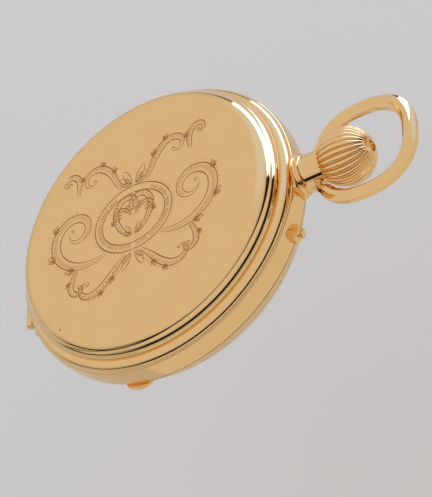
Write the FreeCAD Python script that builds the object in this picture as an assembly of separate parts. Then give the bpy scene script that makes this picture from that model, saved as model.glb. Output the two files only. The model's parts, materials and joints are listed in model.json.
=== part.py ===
import FreeCAD, Part
import math
import os

# Hunter pocket watch, lying on its back cover.
# Origin: centre of the back cover's flat face.  +Z: out through the front cover.
# +X: along the pendant and crown (3 o'clock).  +Y: 12 o'clock.
# Heights below are counted from the middle plane of the case, and every piece is lifted
# by HALF_THICKNESS when it is written.

V = FreeCAD.Vector
HALF_THICKNESS = 6.1
BAND_R = 25.0             # outer radius of the wide band
BAND_HALF = 1.85          # half height of the band
BAND_EDGE_R = 24.9        # band radius where its edge rounding starts
SEAM_R = 24.72            # cover rim radius at the seam
SEAM_Z = 1.95             # lower face of a cover's rim
STEP_R, STEP_Z = 23.43, 3.12       # groove between the two rim steps
SHOULDER_R, SHOULDER_Z = 22.77, 4.79  # groove below the shoulder
DISC_R = 20.7             # flat disc of a cover
SHELL = 0.55              # thickness of a cover
HINGE_X, HINGE_Z = -24.15, 1.15    # axis of a lid joint
KNUCKLE_R = 0.75
HINGE_HALF = 8.4          # half length of a lid joint
HINGE_RELIEF_R = 1.18
PIN_R = 0.3
PIN_BORE_R = 0.33
BORE_REACH = HINGE_HALF + 1
MOVEMENT_R = 21.2         # main plate
PLATE_LOW, PLATE_TOP = 0.2, 1.4
LEDGE_R = 20.9            # ledge of the case that carries the plate
BRIDGE_R = 20.6
BRIDGE_TOP, BRIDGE_LOW = -1.75, -2.6
COCK_TOP, COCK_LOW = -2.85, -3.4
DIAL_LOW, DIAL_TOP = 2.2, 2.65
PENDANT_R = 2.65
BOW_PIVOT_X = 28.3
CROWN_START, CROWN_END = 29.7, 37.6
CROWN_R = 4.5
CROWN_MIDDLE = 33.3       # widest place of the ball
CROWN_INNER_HALF, CROWN_OUTER_HALF = 5.0, 4.6  # half lengths of the ball on either side of it
CROWN_RIBS = 28
RIB_DEPTH = 0.42
GUARD_ANGLE = -22.0       # push piece beside the pendant, degrees from +X
GUARD_Z = -0.95
GUARD_BORE_R = 0.62
LIP_ANGLE = -103.5        # thumb lip on the back cover

# Plan of the going train.  Each pair is (teeth of wheel, leaves of the pinion it drives).
BARREL_TEETH, CENTRE_LEAVES = 72, 12
CENTRE_TEETH, THIRD_LEAVES = 80, 10
THIRD_TEETH, FOURTH_LEAVES = 75, 10
FOURTH_TEETH, ESCAPE_LEAVES = 80, 8
CENTRE_THIRD = 7.2
THIRD_FOURTH = 5.667
SECONDS_Y = -9.6
FOURTH_ESCAPE = 5.06
BARREL_DISTANCE, BARREL_ANGLE = 11.0, 50.0
ESCAPE_PALLET, PALLET_BALANCE, ESCAPE_LINE_ANGLE = 3.4, 5.6, 130.0
CROWN_WHEEL_X = 13.6
MINUTE_WHEEL_ANGLE = -30.0
MOTION_DISTANCE = 3.6


def polar(radius, degrees, z=0.0):
    return V(radius * math.cos(math.radians(degrees)), radius * math.sin(math.radians(degrees)), z)


CENTRE = V(0, 0, 0)
BARREL = polar(BARREL_DISTANCE, BARREL_ANGLE)
FOURTH = V(0, SECONDS_Y, 0)
THIRD_Y = (THIRD_FOURTH ** 2 - CENTRE_THIRD ** 2 - SECONDS_Y ** 2) / (-2 * SECONDS_Y)
THIRD = V(math.sqrt(CENTRE_THIRD ** 2 - THIRD_Y ** 2), THIRD_Y, 0)
ESCAPE = FOURTH + polar(FOURTH_ESCAPE, 180)
PALLET = ESCAPE + polar(ESCAPE_PALLET, ESCAPE_LINE_ANGLE)
BALANCE = ESCAPE + polar(ESCAPE_PALLET + PALLET_BALANCE, ESCAPE_LINE_ANGLE)
CROWN_WHEEL = V(CROWN_WHEEL_X, 0, 0)
MINUTE = polar(MOTION_DISTANCE, MINUTE_WHEEL_ANGLE)
BALANCE_CUT_R = 7.95      # room around the balance in the bridges
BRIDGE_SPLIT_Y = -4.75    # line between the two bridges
BARREL_POSTS = [V(-1.5, 18.3, 0), V(18.2, 4.2, 0)]
TRAIN_POSTS = [V(12.5, -13.5, 0), V(-2.5, -17.0, 0)]
COCK_SCREW = V(-12.2, 12.2, 0)
PALLET_FOOT = V(-10.46, -9.9, 0)
CASE_SCREWS = [polar(19.9, 262), polar(19.9, 21.5)]
POST_R = 1.3

PIECES = {}


# ---------------------------------------------------------------- building blocks

def disc(radius, low, high, at=CENTRE):
    return Part.makeCylinder(radius, high - low, V(at.x, at.y, low))


def ring(inner, outer, low, high, at=CENTRE):
    return disc(outer, low, high, at).cut(disc(inner, low - 1, high + 1, at))


def rod(radius, start, end):
    return Part.makeCylinder(radius, (end - start).Length, start, end - start)


def box(x0, x1, y0, y1, z0, z1):
    return Part.makeBox(x1 - x0, y1 - y0, z1 - z0, V(x0, y0, z0))


def prism(points, low, high):
    corners = [V(p.x, p.y, low) for p in points]
    face = Part.Face(Part.makePolygon(corners + [corners[0]]))
    return face.extrude(V(0, 0, high - low))


def join(*shapes):
    return shapes[0].fuse(list(shapes[1:])).removeSplitter()


def group(shapes):
    return Part.makeCompound(shapes)


def bulge(start, end, rise):
    """Arc in the radius-height plane from start to end, standing rise to the right of its chord."""
    chord = end - start
    side = V(chord.z, 0, -chord.x).normalize()
    middle = (start + end) * 0.5 + side * rise
    return Part.Arc(start, middle, end).toShape()


def line(start, end):
    return Part.LineSegment(start, end).toShape()


def revolve(edges):
    """Full turn about Z of a closed outline in the X-Z plane."""
    face = Part.Face(Part.Wire(Part.__sortEdges__(edges)))
    return face.revolve(CENTRE, V(0, 0, 1), 360)


def turned(points):
    """Full turn about Z of a closed polygon of (radius, height) pairs."""
    corners = [V(radius, 0, height) for radius, height in points]
    return revolve([line(a, b) for a, b in zip(corners, corners[1:] + corners[:1])])


def sector(inner, outer, low, high, from_deg, to_deg):
    """Part of a ring between two angles."""
    block = Part.makeCylinder(outer, high - low, V(0, 0, low), V(0, 0, 1), to_deg - from_deg)
    block.rotate(CENTRE, V(0, 0, 1), from_deg)
    return block.cut(disc(inner, low - 1, high + 1))


def bar(start, end, start_r, end_r, low, high):
    """Flat arm that tapers between two rounded ends."""
    along = (end - start).normalize()
    side = V(-along.y, along.x, 0)
    quad = [start + side * start_r, end + side * end_r, end - side * end_r, start - side * start_r]
    return join(prism(quad, low, high), disc(start_r, low, high, start), disc(end_r, low, high, end))


def mirrored(shape):
    return shape.mirror(CENTRE, V(0, 0, 1))


def direction(start, end):
    return math.degrees(math.atan2(end.y - start.y, end.x - start.x))


# ---------------------------------------------------------------- toothed wheels

ROOT_DEPTH, TIP_HEIGHT = 1.15, 0.85     # in modules
ROOT_HALF, TIP_HALF = 0.26, 0.10        # half widths of a tooth in tooth pitches


def toothed(teeth, pitch_r, phase, low, high, at=CENTRE):
    """Disc with teeth; one tooth points along the phase angle."""
    module = 2 * pitch_r / teeth
    root, tip = pitch_r - ROOT_DEPTH * module, pitch_r + TIP_HEIGHT * module
    step = 360.0 / teeth
    points = []
    for index in range(teeth):
        angle = phase + index * step
        for radius, offset in ((root, -ROOT_HALF), (tip, -TIP_HALF), (tip, TIP_HALF), (root, ROOT_HALF)):
            points.append(at + polar(radius, angle + offset * step))
    return prism(points, low, high)


def mesh_radii(distance, teeth_a, teeth_b):
    return distance * teeth_a / (teeth_a + teeth_b), distance * teeth_b / (teeth_a + teeth_b)


def wheel(teeth, pitch_r, phase, low, high, at, spokes=5, hub_r=1.1):
    """Thin wheel with spokes cut out between its hub and rim."""
    blank = toothed(teeth, pitch_r, phase, low, high, at)
    rim_r = pitch_r - 0.16 * pitch_r
    window = ring(hub_r, rim_r, low - 1, high + 1, at)
    arms = []
    for index in range(spokes):
        tip = at + polar(rim_r + 0.1, index * 360.0 / spokes)
        arms.append(bar(at, tip, 0.09 * pitch_r, 0.055 * pitch_r, low - 1, high + 1))
    return blank.cut(window.cut(arms))


# ---------------------------------------------------------------- case

def cover_outline():
    """Front cover in section: two rim steps, rounded shoulder, flat disc."""
    seam, step = V(SEAM_R, 0, SEAM_Z), V(STEP_R, 0, STEP_Z)
    shoulder, flat = V(SHOULDER_R, 0, SHOULDER_Z), V(DISC_R, 0, HALF_THICKNESS)
    top, under = V(0, 0, HALF_THICKNESS), V(0, 0, HALF_THICKNESS - SHELL)
    inner_flat = V(DISC_R - 0.3, 0, HALF_THICKNESS - SHELL)
    inner_shoulder = V(SHOULDER_R - 0.6, 0, SHOULDER_Z - 0.35)
    inner_step = V(STEP_R - 0.6, 0, STEP_Z - 0.2)
    inner_seam = V(SEAM_R - 0.75, 0, SEAM_Z)
    return [bulge(seam, step, 0.33), bulge(step, shoulder, 0.22), bulge(shoulder, flat, 0.35),
            line(flat, top), line(top, under), line(under, inner_flat),
            bulge(inner_shoulder, inner_flat, 0.2), line(inner_shoulder, inner_step),
            line(inner_step, inner_seam), line(inner_seam, seam)]


def knuckle_spans(moving):
    """Stretches of a lid joint along Y: three for the case, two for the lid."""
    edges = [-HINGE_HALF, -5.4, -1.8, 1.8, 5.4, HINGE_HALF]
    gap = 0.06
    first = 1 if moving else 0
    return [(edges[i] + gap, edges[i + 1] - gap) for i in range(first, 5, 2)]


def hinge_rod(radius, low, high, z=HINGE_Z):
    """Round bar along the axis of a lid joint."""
    return rod(radius, V(HINGE_X, low, z), V(HINGE_X, high, z))


def knuckle(span, web):
    """One tube of the joint with the web that ties it to its shell."""
    return hinge_rod(KNUCKLE_R, *span).fuse(web).cut(hinge_rod(PIN_BORE_R, -BORE_REACH, BORE_REACH))


def lid():
    shell = revolve(cover_outline())
    # the rim is cut back where the case's own knuckles stand
    for low, high in knuckle_spans(False):
        shell = shell.cut(hinge_rod(KNUCKLE_R + 0.05, low - 0.1, high + 0.1))
    inside = disc(SEAM_R - 0.05, SEAM_Z - 1, STEP_Z)
    knuckles = []
    for low, high in knuckle_spans(True):
        web = box(HINGE_X, HINGE_X + 0.7, low, high, HINGE_Z, SEAM_Z + 0.35).common(inside)
        knuckles.append(knuckle((low, high), web))
    return shell.fuse(knuckles).removeSplitter()


def thumb_lip():
    lip = sector(SEAM_R - 0.4, SEAM_R + 0.9, -2.62, -2.06, LIP_ANGLE - 5.6, LIP_ANGLE + 5.6)
    rounding = disc(6.0, -3.5, -1.5, polar(SEAM_R - 5.1, LIP_ANGLE))
    return lip.common(rounding)


def back_cover():
    return join(mirrored(lid()), thumb_lip())


def case_middle():
    """Band with its inner ledge, joint knuckles, spring channel and stem hole."""
    outer_top, outer_low = V(BAND_EDGE_R, 0, BAND_HALF - 0.3), V(BAND_EDGE_R, 0, 0.3 - BAND_HALF)
    top, low = V(BAND_EDGE_R - 0.3, 0, BAND_HALF), V(BAND_EDGE_R - 0.3, 0, -BAND_HALF)
    seat_r, tail_r, tail_z = 21.3, 21.6, -2.6
    inner = [V(seat_r, 0, BAND_HALF), V(seat_r, 0, PLATE_LOW), V(LEDGE_R, 0, PLATE_LOW),
             V(LEDGE_R, 0, tail_z), V(tail_r, 0, tail_z), V(tail_r, 0, -BAND_HALF), low]
    edges = [line(a, b) for a, b in zip(inner, inner[1:])]
    edges.append(bulge(low, outer_low, 0.09))
    edges.append(bulge(outer_low, outer_top, BAND_R - BAND_EDGE_R))
    edges.append(bulge(outer_top, top, 0.09))
    edges.append(line(top, inner[0]))
    body = revolve(edges)
    reliefs = []
    for side in (1, -1):
        axis_z = side * HINGE_Z
        ends = HINGE_HALF + 0.05
        reliefs.append(rod(HINGE_RELIEF_R, V(HINGE_X, -ends, axis_z), V(HINGE_X, ends, axis_z)))
    reliefs.append(box(-BAND_R - 1, HINGE_X, -HINGE_HALF - 0.05, HINGE_HALF + 0.05, -3, 3))
    reliefs.append(sector(22.3, 23.9, 0.98, BAND_HALF + 1, -60, 150))
    reliefs.append(rod(1.0, V(20, 0, 0), V(26, 0, 0)))
    reliefs.append(rod(GUARD_BORE_R, guard_axis(20), guard_axis(26)))
    body = body.cut(reliefs)
    knuckles = []
    for low, high in knuckle_spans(False):
        web = box(HINGE_X, HINGE_X + 1.5, low, high, HINGE_Z - 0.7, HINGE_Z)
        piece = knuckle((low, high), web)
        knuckles.extend([piece, mirrored(piece)])
    return body.fuse(knuckles).cut(hinge_bores()).removeSplitter()


def hinge_bores():
    return [hinge_rod(PIN_BORE_R, -BORE_REACH, BORE_REACH, z) for z in (HINGE_Z, -HINGE_Z)]


def hinge_pins():
    return group([hinge_rod(PIN_R, -HINGE_HALF, HINGE_HALF, z) for z in (HINGE_Z, -HINGE_Z)])


CUVETTE_X, CUVETTE_Z, CUVETTE_KNUCKLE_R = -22.0, -2.4, 0.4
CUVETTE_RIM_Z = -2.35
CUVETTE_KNUCKLE_HALF, CUVETTE_JOINT_HALF = 1.2, 3.6


def cuvette():
    """Inner dust cover behind the movement, with its own small joint."""
    wall_r, wall, floor_z = 21.95, 0.3, -4.3
    inner_r, inner_z = wall_r - wall, floor_z + wall
    shell = turned([(0, floor_z), (wall_r - 0.5, floor_z), (wall_r, -3.9), (wall_r, CUVETTE_RIM_Z),
                    (inner_r, CUVETTE_RIM_Z), (inner_r, -3.8), (inner_r - 0.35, inner_z), (0, inner_z)])
    half = CUVETTE_KNUCKLE_HALF
    tube = rod(CUVETTE_KNUCKLE_R, V(CUVETTE_X, -half, CUVETTE_Z), V(CUVETTE_X, half, CUVETTE_Z))
    web = box(CUVETTE_X, CUVETTE_X + 0.3, -half, half, CUVETTE_Z - 0.6, CUVETTE_Z)
    clear = [rod(0.5, V(CUVETTE_X, low, CUVETTE_Z), V(CUVETTE_X, high, CUVETTE_Z))
             for low, high in fixed_spans(0.08)]
    lifting_lip = sector(wall_r - 0.2, wall_r + 0.45, -3.1, -2.7, -106, -98)
    return shell.cut(clear).fuse([tube.fuse(web), lifting_lip]).cut(cuvette_bore()).removeSplitter()


def fixed_spans(extra):
    """Stretches of the dust cover's joint that belong to the band, on either side of its own knuckle."""
    inner, outer = CUVETTE_KNUCKLE_HALF + 0.1 - extra, CUVETTE_JOINT_HALF + extra
    return [(-outer, -inner), (inner, outer)]


def cuvette_bore():
    return rod(0.2, V(CUVETTE_X, -6, CUVETTE_Z), V(CUVETTE_X, 6, CUVETTE_Z))


def cuvette_joint():
    """Fixed tubes of the dust cover's joint, standing on the band's rear face, with the pin."""
    tubes = []
    for low, high in fixed_spans(0):
        tube = rod(CUVETTE_KNUCKLE_R, V(CUVETTE_X, low, CUVETTE_Z), V(CUVETTE_X, high, CUVETTE_Z))
        foot = box(CUVETTE_X - 0.3, CUVETTE_X + 0.3, low, high, CUVETTE_Z, -BAND_HALF)
        tubes.append(tube.fuse(foot))
    half = CUVETTE_JOINT_HALF
    pin = rod(0.17, V(CUVETTE_X, -half, CUVETTE_Z), V(CUVETTE_X, half, CUVETTE_Z))
    return join(tubes[0], pin, tubes[1])


def bezel():
    """Ring over the dial with a groove for the glass."""
    outside = [(21.35, BAND_HALF), (22.2, BAND_HALF), (22.2, 2.9), (21.5, 4.3), (20.9, 4.5), (20.5, 4.3)]
    groove = [(20.5, 4.1), (20.9, 4.1), (20.9, 3.5), (20.3, 3.5)]
    return turned(outside + groove + [(20.3, 2.85), (21.35, 2.85)])


def crystal():
    """Domed glass with a rim that sits in the bezel's groove."""
    rim_r, seat_r, groove_r = 20.45, 20.0, 20.85
    groove_low, groove_top, rim_z = 3.55, 4.05, 4.1
    dome_z, hollow_z = 5.1, 4.3
    rim_top, centre_top = V(rim_r, 0, rim_z), V(0, 0, dome_z)
    seat, centre_low = V(seat_r, 0, groove_low), V(0, 0, hollow_z)
    corners = [rim_top, V(rim_r, 0, groove_top), V(groove_r, 0, groove_top), V(groove_r, 0, groove_low), seat]
    outline = [line(a, b) for a, b in zip(corners, corners[1:])]
    outline.append(dome(seat, centre_low))
    outline.append(line(centre_low, centre_top))
    outline.append(dome(rim_top, centre_top))
    return revolve(outline)


def dome(rim, crest):
    """Arc from a rim to the axis that arrives level at the axis."""
    chord = crest - rim
    half_angle = math.atan2(crest.z - rim.z, rim.x - crest.x)
    return bulge(rim, crest, chord.Length / 2 * math.tan(half_angle / 2))


def dial():
    body = disc(20.4, DIAL_LOW, DIAL_TOP)
    sink = disc(4.3, DIAL_TOP - 0.12, DIAL_TOP + 1, FOURTH)
    holes = [disc(1.25, 0, 4), disc(0.45, 0, 4, FOURTH)]
    return body.cut([sink] + holes)


FEET = [polar(17.8, 75), polar(17.8, 197), polar(17.8, -50)]


def dial_feet():
    return group([disc(0.4, PLATE_LOW + 0.2, DIAL_LOW, foot) for foot in FEET])


def pendant():
    """Neck with its flange and collar; holes for the stem and the ends of the bow."""
    flange = [(1.3, 24.2), (3.35, 24.2), (3.35, 25.35), (2.95, 25.75)]
    collar = [(3.15, 25.95), (3.15, 26.35), (2.8, 26.6)]
    outline = flange + collar + [(PENDANT_R, 26.9), (PENDANT_R, 30.0), (2.45, 30.3), (1.3, 30.3)]
    neck = turned(outline)
    neck.rotate(CENTRE, V(0, 1, 0), 90)
    waist = ring(BAND_R, BAND_R + 9, -BAND_HALF + 0.1, BAND_HALF - 0.1)
    beyond = box(BAND_R + 0.2, BAND_R + 9, -5, 5, -5, 5)
    neck = neck.common(waist.fuse(beyond))
    ends = [rod(0.68, V(BOW_PIVOT_X, side * 1.5, 0), V(BOW_PIVOT_X, side * 4, 0)) for side in (1, -1)]
    return neck.cut(ends)


def stem_sleeve():
    tube = rod(1.3, V(25.4, 0, 0), V(29.6, 0, 0))
    return tube.cut(rod(0.68, V(24, 0, 0), V(31, 0, 0)))


def crown_radius(along):
    """Outer radius of the ball crown at a distance along the stem."""
    half = CROWN_INNER_HALF if along < CROWN_MIDDLE else CROWN_OUTER_HALF
    return CROWN_R * math.sqrt(1 - ((along - CROWN_MIDDLE) / half) ** 2)


def ribbed_section(along):
    """Star-like outline: a crest and a valley for each rib, shallow towards the end band."""
    radius = crown_radius(along)
    fade = min(1.0, max(0.0, (CROWN_END - 0.6 - along) / 3.0))
    depth = RIB_DEPTH * (0.35 + 0.65 * fade)
    points = []
    for index in range(CROWN_RIBS * 2):
        reach = radius - (depth if index % 2 else 0.0)
        spoke = polar(reach, index * 180.0 / CROWN_RIBS)
        points.append(V(along, spoke.x, spoke.y))
    return Part.makePolygon(points + points[:1])


def crown():
    """Fluted ball crown, hollow where the neck enters, with a small dimple in its end."""
    stations = [CROWN_START, 30.4, 31.3, 32.4, CROWN_MIDDLE, 34.8, 35.8, 36.6, 37.2, CROWN_END]
    ball = Part.makeLoft([ribbed_section(along) for along in stations], True, True)
    hollow = rod(2.85, V(CROWN_START - 1, 0, 0), V(31.2, 0, 0))
    dimple = rod(0.9, V(CROWN_END - 0.7, 0, 0), V(CROWN_END + 1, 0, 0))
    return ball.cut([hollow, dimple])


def stem():
    """Winding stem: round in the pendant, square through the winding pinion and clutch."""
    round_part = rod(0.6, V(18.4, 0, 0), V(31.2, 0, 0))
    half = 0.42
    square = box(13.1, 18.4, -half, half, -half, half)
    return join(round_part, square)


BOW_TIP_X, BOW_HALF_WIDTH, BOW_POWER = 44.07, 7.7, 2.35


def bow_point(turn):
    """Point of the bow's centre line; turn runs from -90 through 0 at the tip to 90."""
    half_height = (BOW_TIP_X - BOW_PIVOT_X) / 2
    angle = math.radians(turn * 2)
    cosine, sine = math.cos(angle), math.sin(angle)
    power = 2 / BOW_POWER
    x = BOW_TIP_X - half_height + math.copysign(half_height * abs(cosine) ** power, cosine)
    return V(x, math.copysign(BOW_HALF_WIDTH * abs(sine) ** power, sine), 0)


def bow_section(turn):
    """Eight-sided bevelled section across the centre line, smaller towards the ends."""
    here = bow_point(turn)
    ahead = (bow_point(turn + 0.5) - bow_point(turn - 0.5)).normalize()
    out = V(ahead.y, -ahead.x, 0)
    size = 0.78 - 0.1 * (abs(turn) / 90) ** 2
    wide, deep, ridge, crest = 1.45 * size, 1.3 * size, 0.55 * size, 0.5 * size
    corners = [(wide, ridge), (crest, deep), (-crest, deep), (-wide, ridge),
               (-wide, -ridge), (-crest, -deep), (crest, -deep), (wide, -ridge)]
    points = [here + out * a + V(0, 0, b) for a, b in corners]
    return Part.makePolygon(points + points[:1])


def bow():
    last = 75
    steps = [last * (index / 14.0 - 1) for index in range(29)]
    loop = Part.makeLoft([bow_section(turn) for turn in steps], True)
    ends = []
    for side in (1, -1):
        end = bow_point(side * last)
        collar = V(BOW_PIVOT_X, side * (PENDANT_R + 0.15), 0)
        elbow = V(BOW_PIVOT_X, side * (PENDANT_R + 0.9), 0)
        ends.append(rod(0.62, V(BOW_PIVOT_X, side * 1.7, 0), elbow))
        ends.append(rod(0.76, collar, elbow + V(0, side * 0.1, 0)))
        ends.append(rod(0.74, elbow, V(end.x, end.y + side * 0.3, 0)))
    return loop.fuse(ends)


def push_guard():
    """Olivette: small saddle on the band that shields the push piece."""
    stand, wing_height, wing_half, wing_degrees = 1.42, 1.0, 0.78, 2.9
    tube = rod(0.9, guard_axis(BAND_R - 0.6), guard_axis(BAND_R + stand))
    wings = sector(BAND_R - 0.3, BAND_R + wing_height, GUARD_Z - wing_half, GUARD_Z + wing_half,
                   GUARD_ANGLE - wing_degrees, GUARD_ANGLE + wing_degrees)
    outside = ring(BAND_R + 0.02, BAND_R + 5, -4, 4)
    return join(tube, wings).common(outside).cut(rod(GUARD_BORE_R, guard_axis(20), guard_axis(30)))


def guard_axis(radius):
    return polar(radius, GUARD_ANGLE, GUARD_Z)


def push_pin():
    return rod(0.56, guard_axis(20.35), guard_axis(BAND_R + 1.62))


def lock_spring():
    """Leaf that holds the front cover shut, with its nib beside the pendant."""
    leaf = sector(23.0, 23.4, 1.1, 1.7, -4, 50)
    nib = sector(23.0, 23.5, 1.7, 2.1, -4, 4)
    return join(leaf, nib)


def lift_spring():
    """Leaf that throws the front cover open, its tip towards the lid joint."""
    leaf = sector(22.5, 22.9, 1.1, 1.7, 75, 148)
    foot = sector(22.5, 23.8, 1.1, 1.7, 75, 80)
    return join(leaf, foot)


# ---------------------------------------------------------------- movement frame

def main_plate():
    plate = disc(MOVEMENT_R, PLATE_LOW, PLATE_TOP)
    keyless = box(11.6, 18.4, -2.1, 2.1, -1, 3)
    stem_way = rod(0.75, V(18, 0, 0), V(22, 0, 0))
    holes = [disc(0.62, -1, 3)]
    holes += [disc(0.3, -1, 3, spot) for spot in (THIRD, FOURTH, ESCAPE, PALLET, BALANCE, BARREL)]
    holes += [disc(0.42, -1, 3, foot) for foot in FEET]
    return plate.cut([keyless, stem_way] + holes)


def half_disc(low, high, keep):
    return disc(BRIDGE_R, low, high).common(keep)


def barrel_bridge():
    slab = half_disc(BRIDGE_LOW, BRIDGE_TOP, box(-3.5, 25, BRIDGE_SPLIT_Y + 0.25, 25, -5, 0))
    posts = [disc(POST_R, BRIDGE_TOP, PLATE_LOW, post) for post in BARREL_POSTS]
    crown_recess = ring(2.3, 4.15, BRIDGE_LOW - 1, -1.96, CROWN_WHEEL)
    window = box(15.75, 17.75, -2.1, 2.1, -3, -1)
    holes = [disc(0.62, -4, 0), disc(1.55, -4, 0, BARREL), disc(BALANCE_CUT_R, -5, 0, BALANCE)]
    return join(slab, *posts).cut([crown_recess, window] + holes)


def train_bridge():
    slab = half_disc(BRIDGE_LOW, BRIDGE_TOP, box(-25, 25, -25, BRIDGE_SPLIT_Y, -5, 0))
    posts = [disc(POST_R, BRIDGE_TOP, PLATE_LOW, post) for post in TRAIN_POSTS]
    cuts = [disc(BALANCE_CUT_R, -5, 0, BALANCE), box(-25, -9.6, -25, 0, -5, 0)]
    cuts += [disc(JEWEL_R, -4, 0, spot) for spot in (THIRD, FOURTH, ESCAPE)]
    return join(slab, *posts).cut(cuts)


JEWEL_R = 0.75
CENTRE_CLEAR_R = 6.9


def balance_cock():
    keep = box(-25, -3.9, 4.6, 25, -5, 2)
    clear = [disc(BALANCE_CUT_R + 0.1, -5, 2, BALANCE), disc(CENTRE_CLEAR_R, -5, 2)]
    foot = half_disc(COCK_LOW, PLATE_LOW, keep).cut(clear)
    arm_root = V(-11.8, 8.6, 0)
    arm = bar(arm_root, BALANCE, 3.4, 2.1, COCK_LOW, COCK_TOP)
    return join(foot, arm).cut(disc(JEWEL_R, -5, 0, BALANCE))


def pallet_cock():
    foot = disc(1.5, -0.9, PLATE_LOW, PALLET_FOOT)
    arm = bar(PALLET_FOOT, PALLET, 1.5, 1.0, -1.45, -0.9)
    return join(foot, arm).cut(disc(0.3, -3, 0, PALLET))


def jewel(spot, low, high):
    outer = disc(JEWEL_R, low, high, spot)
    return outer.cut([disc(0.2, low - 1, high + 1, spot), disc(0.45, low - 1, low + 0.15, spot)])


def jewels():
    stones = [jewel(spot, BRIDGE_LOW + 0.05, BRIDGE_TOP) for spot in (THIRD, FOURTH, ESCAPE)]
    stones.append(jewel(BALANCE, COCK_LOW + 0.05, COCK_TOP))
    return group(stones)


def screw(spot, seat, depth, head_r, shank_r, head_h):
    head = disc(head_r, seat - head_h, seat, spot)
    shank = disc(shank_r, seat, seat + depth, spot)
    slot_half, slot_depth = 0.12, 0.15
    slot_z = seat - head_h
    slot = box(spot.x - head_r, spot.x + head_r, spot.y - slot_half, spot.y + slot_half,
               slot_z - 1, slot_z + slot_depth)
    return head.fuse(shank).cut(slot)


def bridge_screws():
    seats = [(post, BRIDGE_LOW) for post in BARREL_POSTS + TRAIN_POSTS]
    seats.append((COCK_SCREW, COCK_LOW))
    return [screw(spot, seat, 2.2, 1.05, 0.5, 0.35) for spot, seat in seats]


def case_screws():
    return [screw(spot, BRIDGE_LOW, 2.4, 1.3, 0.5, 0.35) for spot in CASE_SCREWS]


# ---------------------------------------------------------------- going train

CENTRE_R, THIRD_PINION_R = mesh_radii(CENTRE_THIRD, CENTRE_TEETH, THIRD_LEAVES)
THIRD_R, FOURTH_PINION_R = mesh_radii(THIRD_FOURTH, THIRD_TEETH, FOURTH_LEAVES)
FOURTH_R, ESCAPE_PINION_R = mesh_radii(FOURTH_ESCAPE, FOURTH_TEETH, ESCAPE_LEAVES)
BARREL_PITCH_R, CENTRE_PINION_R = mesh_radii(BARREL_DISTANCE, BARREL_TEETH, CENTRE_LEAVES)
ESCAPE_R = 2.65
DRUM_R = 8.9
PIVOT_LOW, PIVOT_TOP = -2.3, 1.0     # ends of the train's pivots
ARBOR_LOW, ARBOR_TOP = -1.7, 0.15    # thick part of the train's arbors


def barrel():
    teeth = toothed(BARREL_TEETH, BARREL_PITCH_R, direction(BARREL, CENTRE), -0.7, -0.35, BARREL)
    drum = disc(DRUM_R, -1.5, -0.7, BARREL)
    hollow = disc(DRUM_R - 0.4, -2, -0.6, BARREL)
    return join(teeth, drum).cut([hollow, disc(1.0, -2, 1, BARREL)])


def barrel_cover():
    return ring(1.0, DRUM_R - 0.42, -1.5, -1.3, BARREL)


def spiral(at, inner_r, outer_r, turns, thickness, low, high, steps=24):
    """Flat coil with an even pitch."""
    count = int(turns * steps)
    inner, outer = [], []
    for index in range(count + 1):
        radius = inner_r + (outer_r - inner_r) * index / count
        angle = index * 360.0 / steps
        inner.append(at + polar(radius - thickness / 2, angle))
        outer.append(at + polar(radius + thickness / 2, angle))
    return prism(outer + inner[::-1], low, high)


def mainspring():
    return spiral(BARREL, 1.75, 8.2, 13, 0.16, -1.25, -0.65)


def barrel_arbor():
    core = disc(1.5, -1.25, -0.65, BARREL)
    upper = disc(0.9, -2.65, -1.25, BARREL)
    lower = disc(0.25, -0.65, PLATE_TOP, BARREL)
    mid = disc(0.9, -0.65, 0.1, BARREL)
    square = box(BARREL.x - 0.6, BARREL.x + 0.6, BARREL.y - 0.6, BARREL.y + 0.6, -3.2, -2.65)
    return join(core, upper, lower, mid, square)


def centre_wheel():
    plate = wheel(CENTRE_TEETH, CENTRE_R, direction(CENTRE, THIRD), -0.2, 0.05, CENTRE)
    pitch = 360.0 / CENTRE_LEAVES
    leaves = toothed(CENTRE_LEAVES, CENTRE_PINION_R, direction(CENTRE, BARREL) + pitch / 2, -0.95, -0.2)
    arbor = disc(0.55, -2.55, 1.45)
    tip = disc(0.3, 1.45, 3.75)
    return join(plate, leaves, arbor, tip)


def third_wheel():
    plate = wheel(THIRD_TEETH, THIRD_R, direction(THIRD, FOURTH), -1.4, -1.15, THIRD, hub_r=1.0)
    pitch = 360.0 / THIRD_LEAVES
    leaves = toothed(THIRD_LEAVES, THIRD_PINION_R, direction(THIRD, CENTRE) + pitch / 2, -0.3, 0.12, THIRD)
    arbor = disc(0.4, ARBOR_LOW, ARBOR_TOP, THIRD)
    pivot = disc(0.16, PIVOT_LOW, PIVOT_TOP, THIRD)
    return join(plate, leaves, arbor, pivot)


def fourth_wheel():
    plate = wheel(FOURTH_TEETH, FOURTH_R, direction(FOURTH, ESCAPE), -0.72, -0.5, FOURTH, hub_r=0.9)
    pitch = 360.0 / FOURTH_LEAVES
    phase = direction(FOURTH, THIRD) + pitch / 2
    leaves = toothed(FOURTH_LEAVES, FOURTH_PINION_R, phase, -1.5, -1.05, FOURTH)
    arbor = disc(0.35, ARBOR_LOW, ARBOR_TOP, FOURTH)
    pivot = disc(0.16, PIVOT_LOW, 3.05, FOURTH)
    return join(plate, leaves, arbor, pivot)


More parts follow.
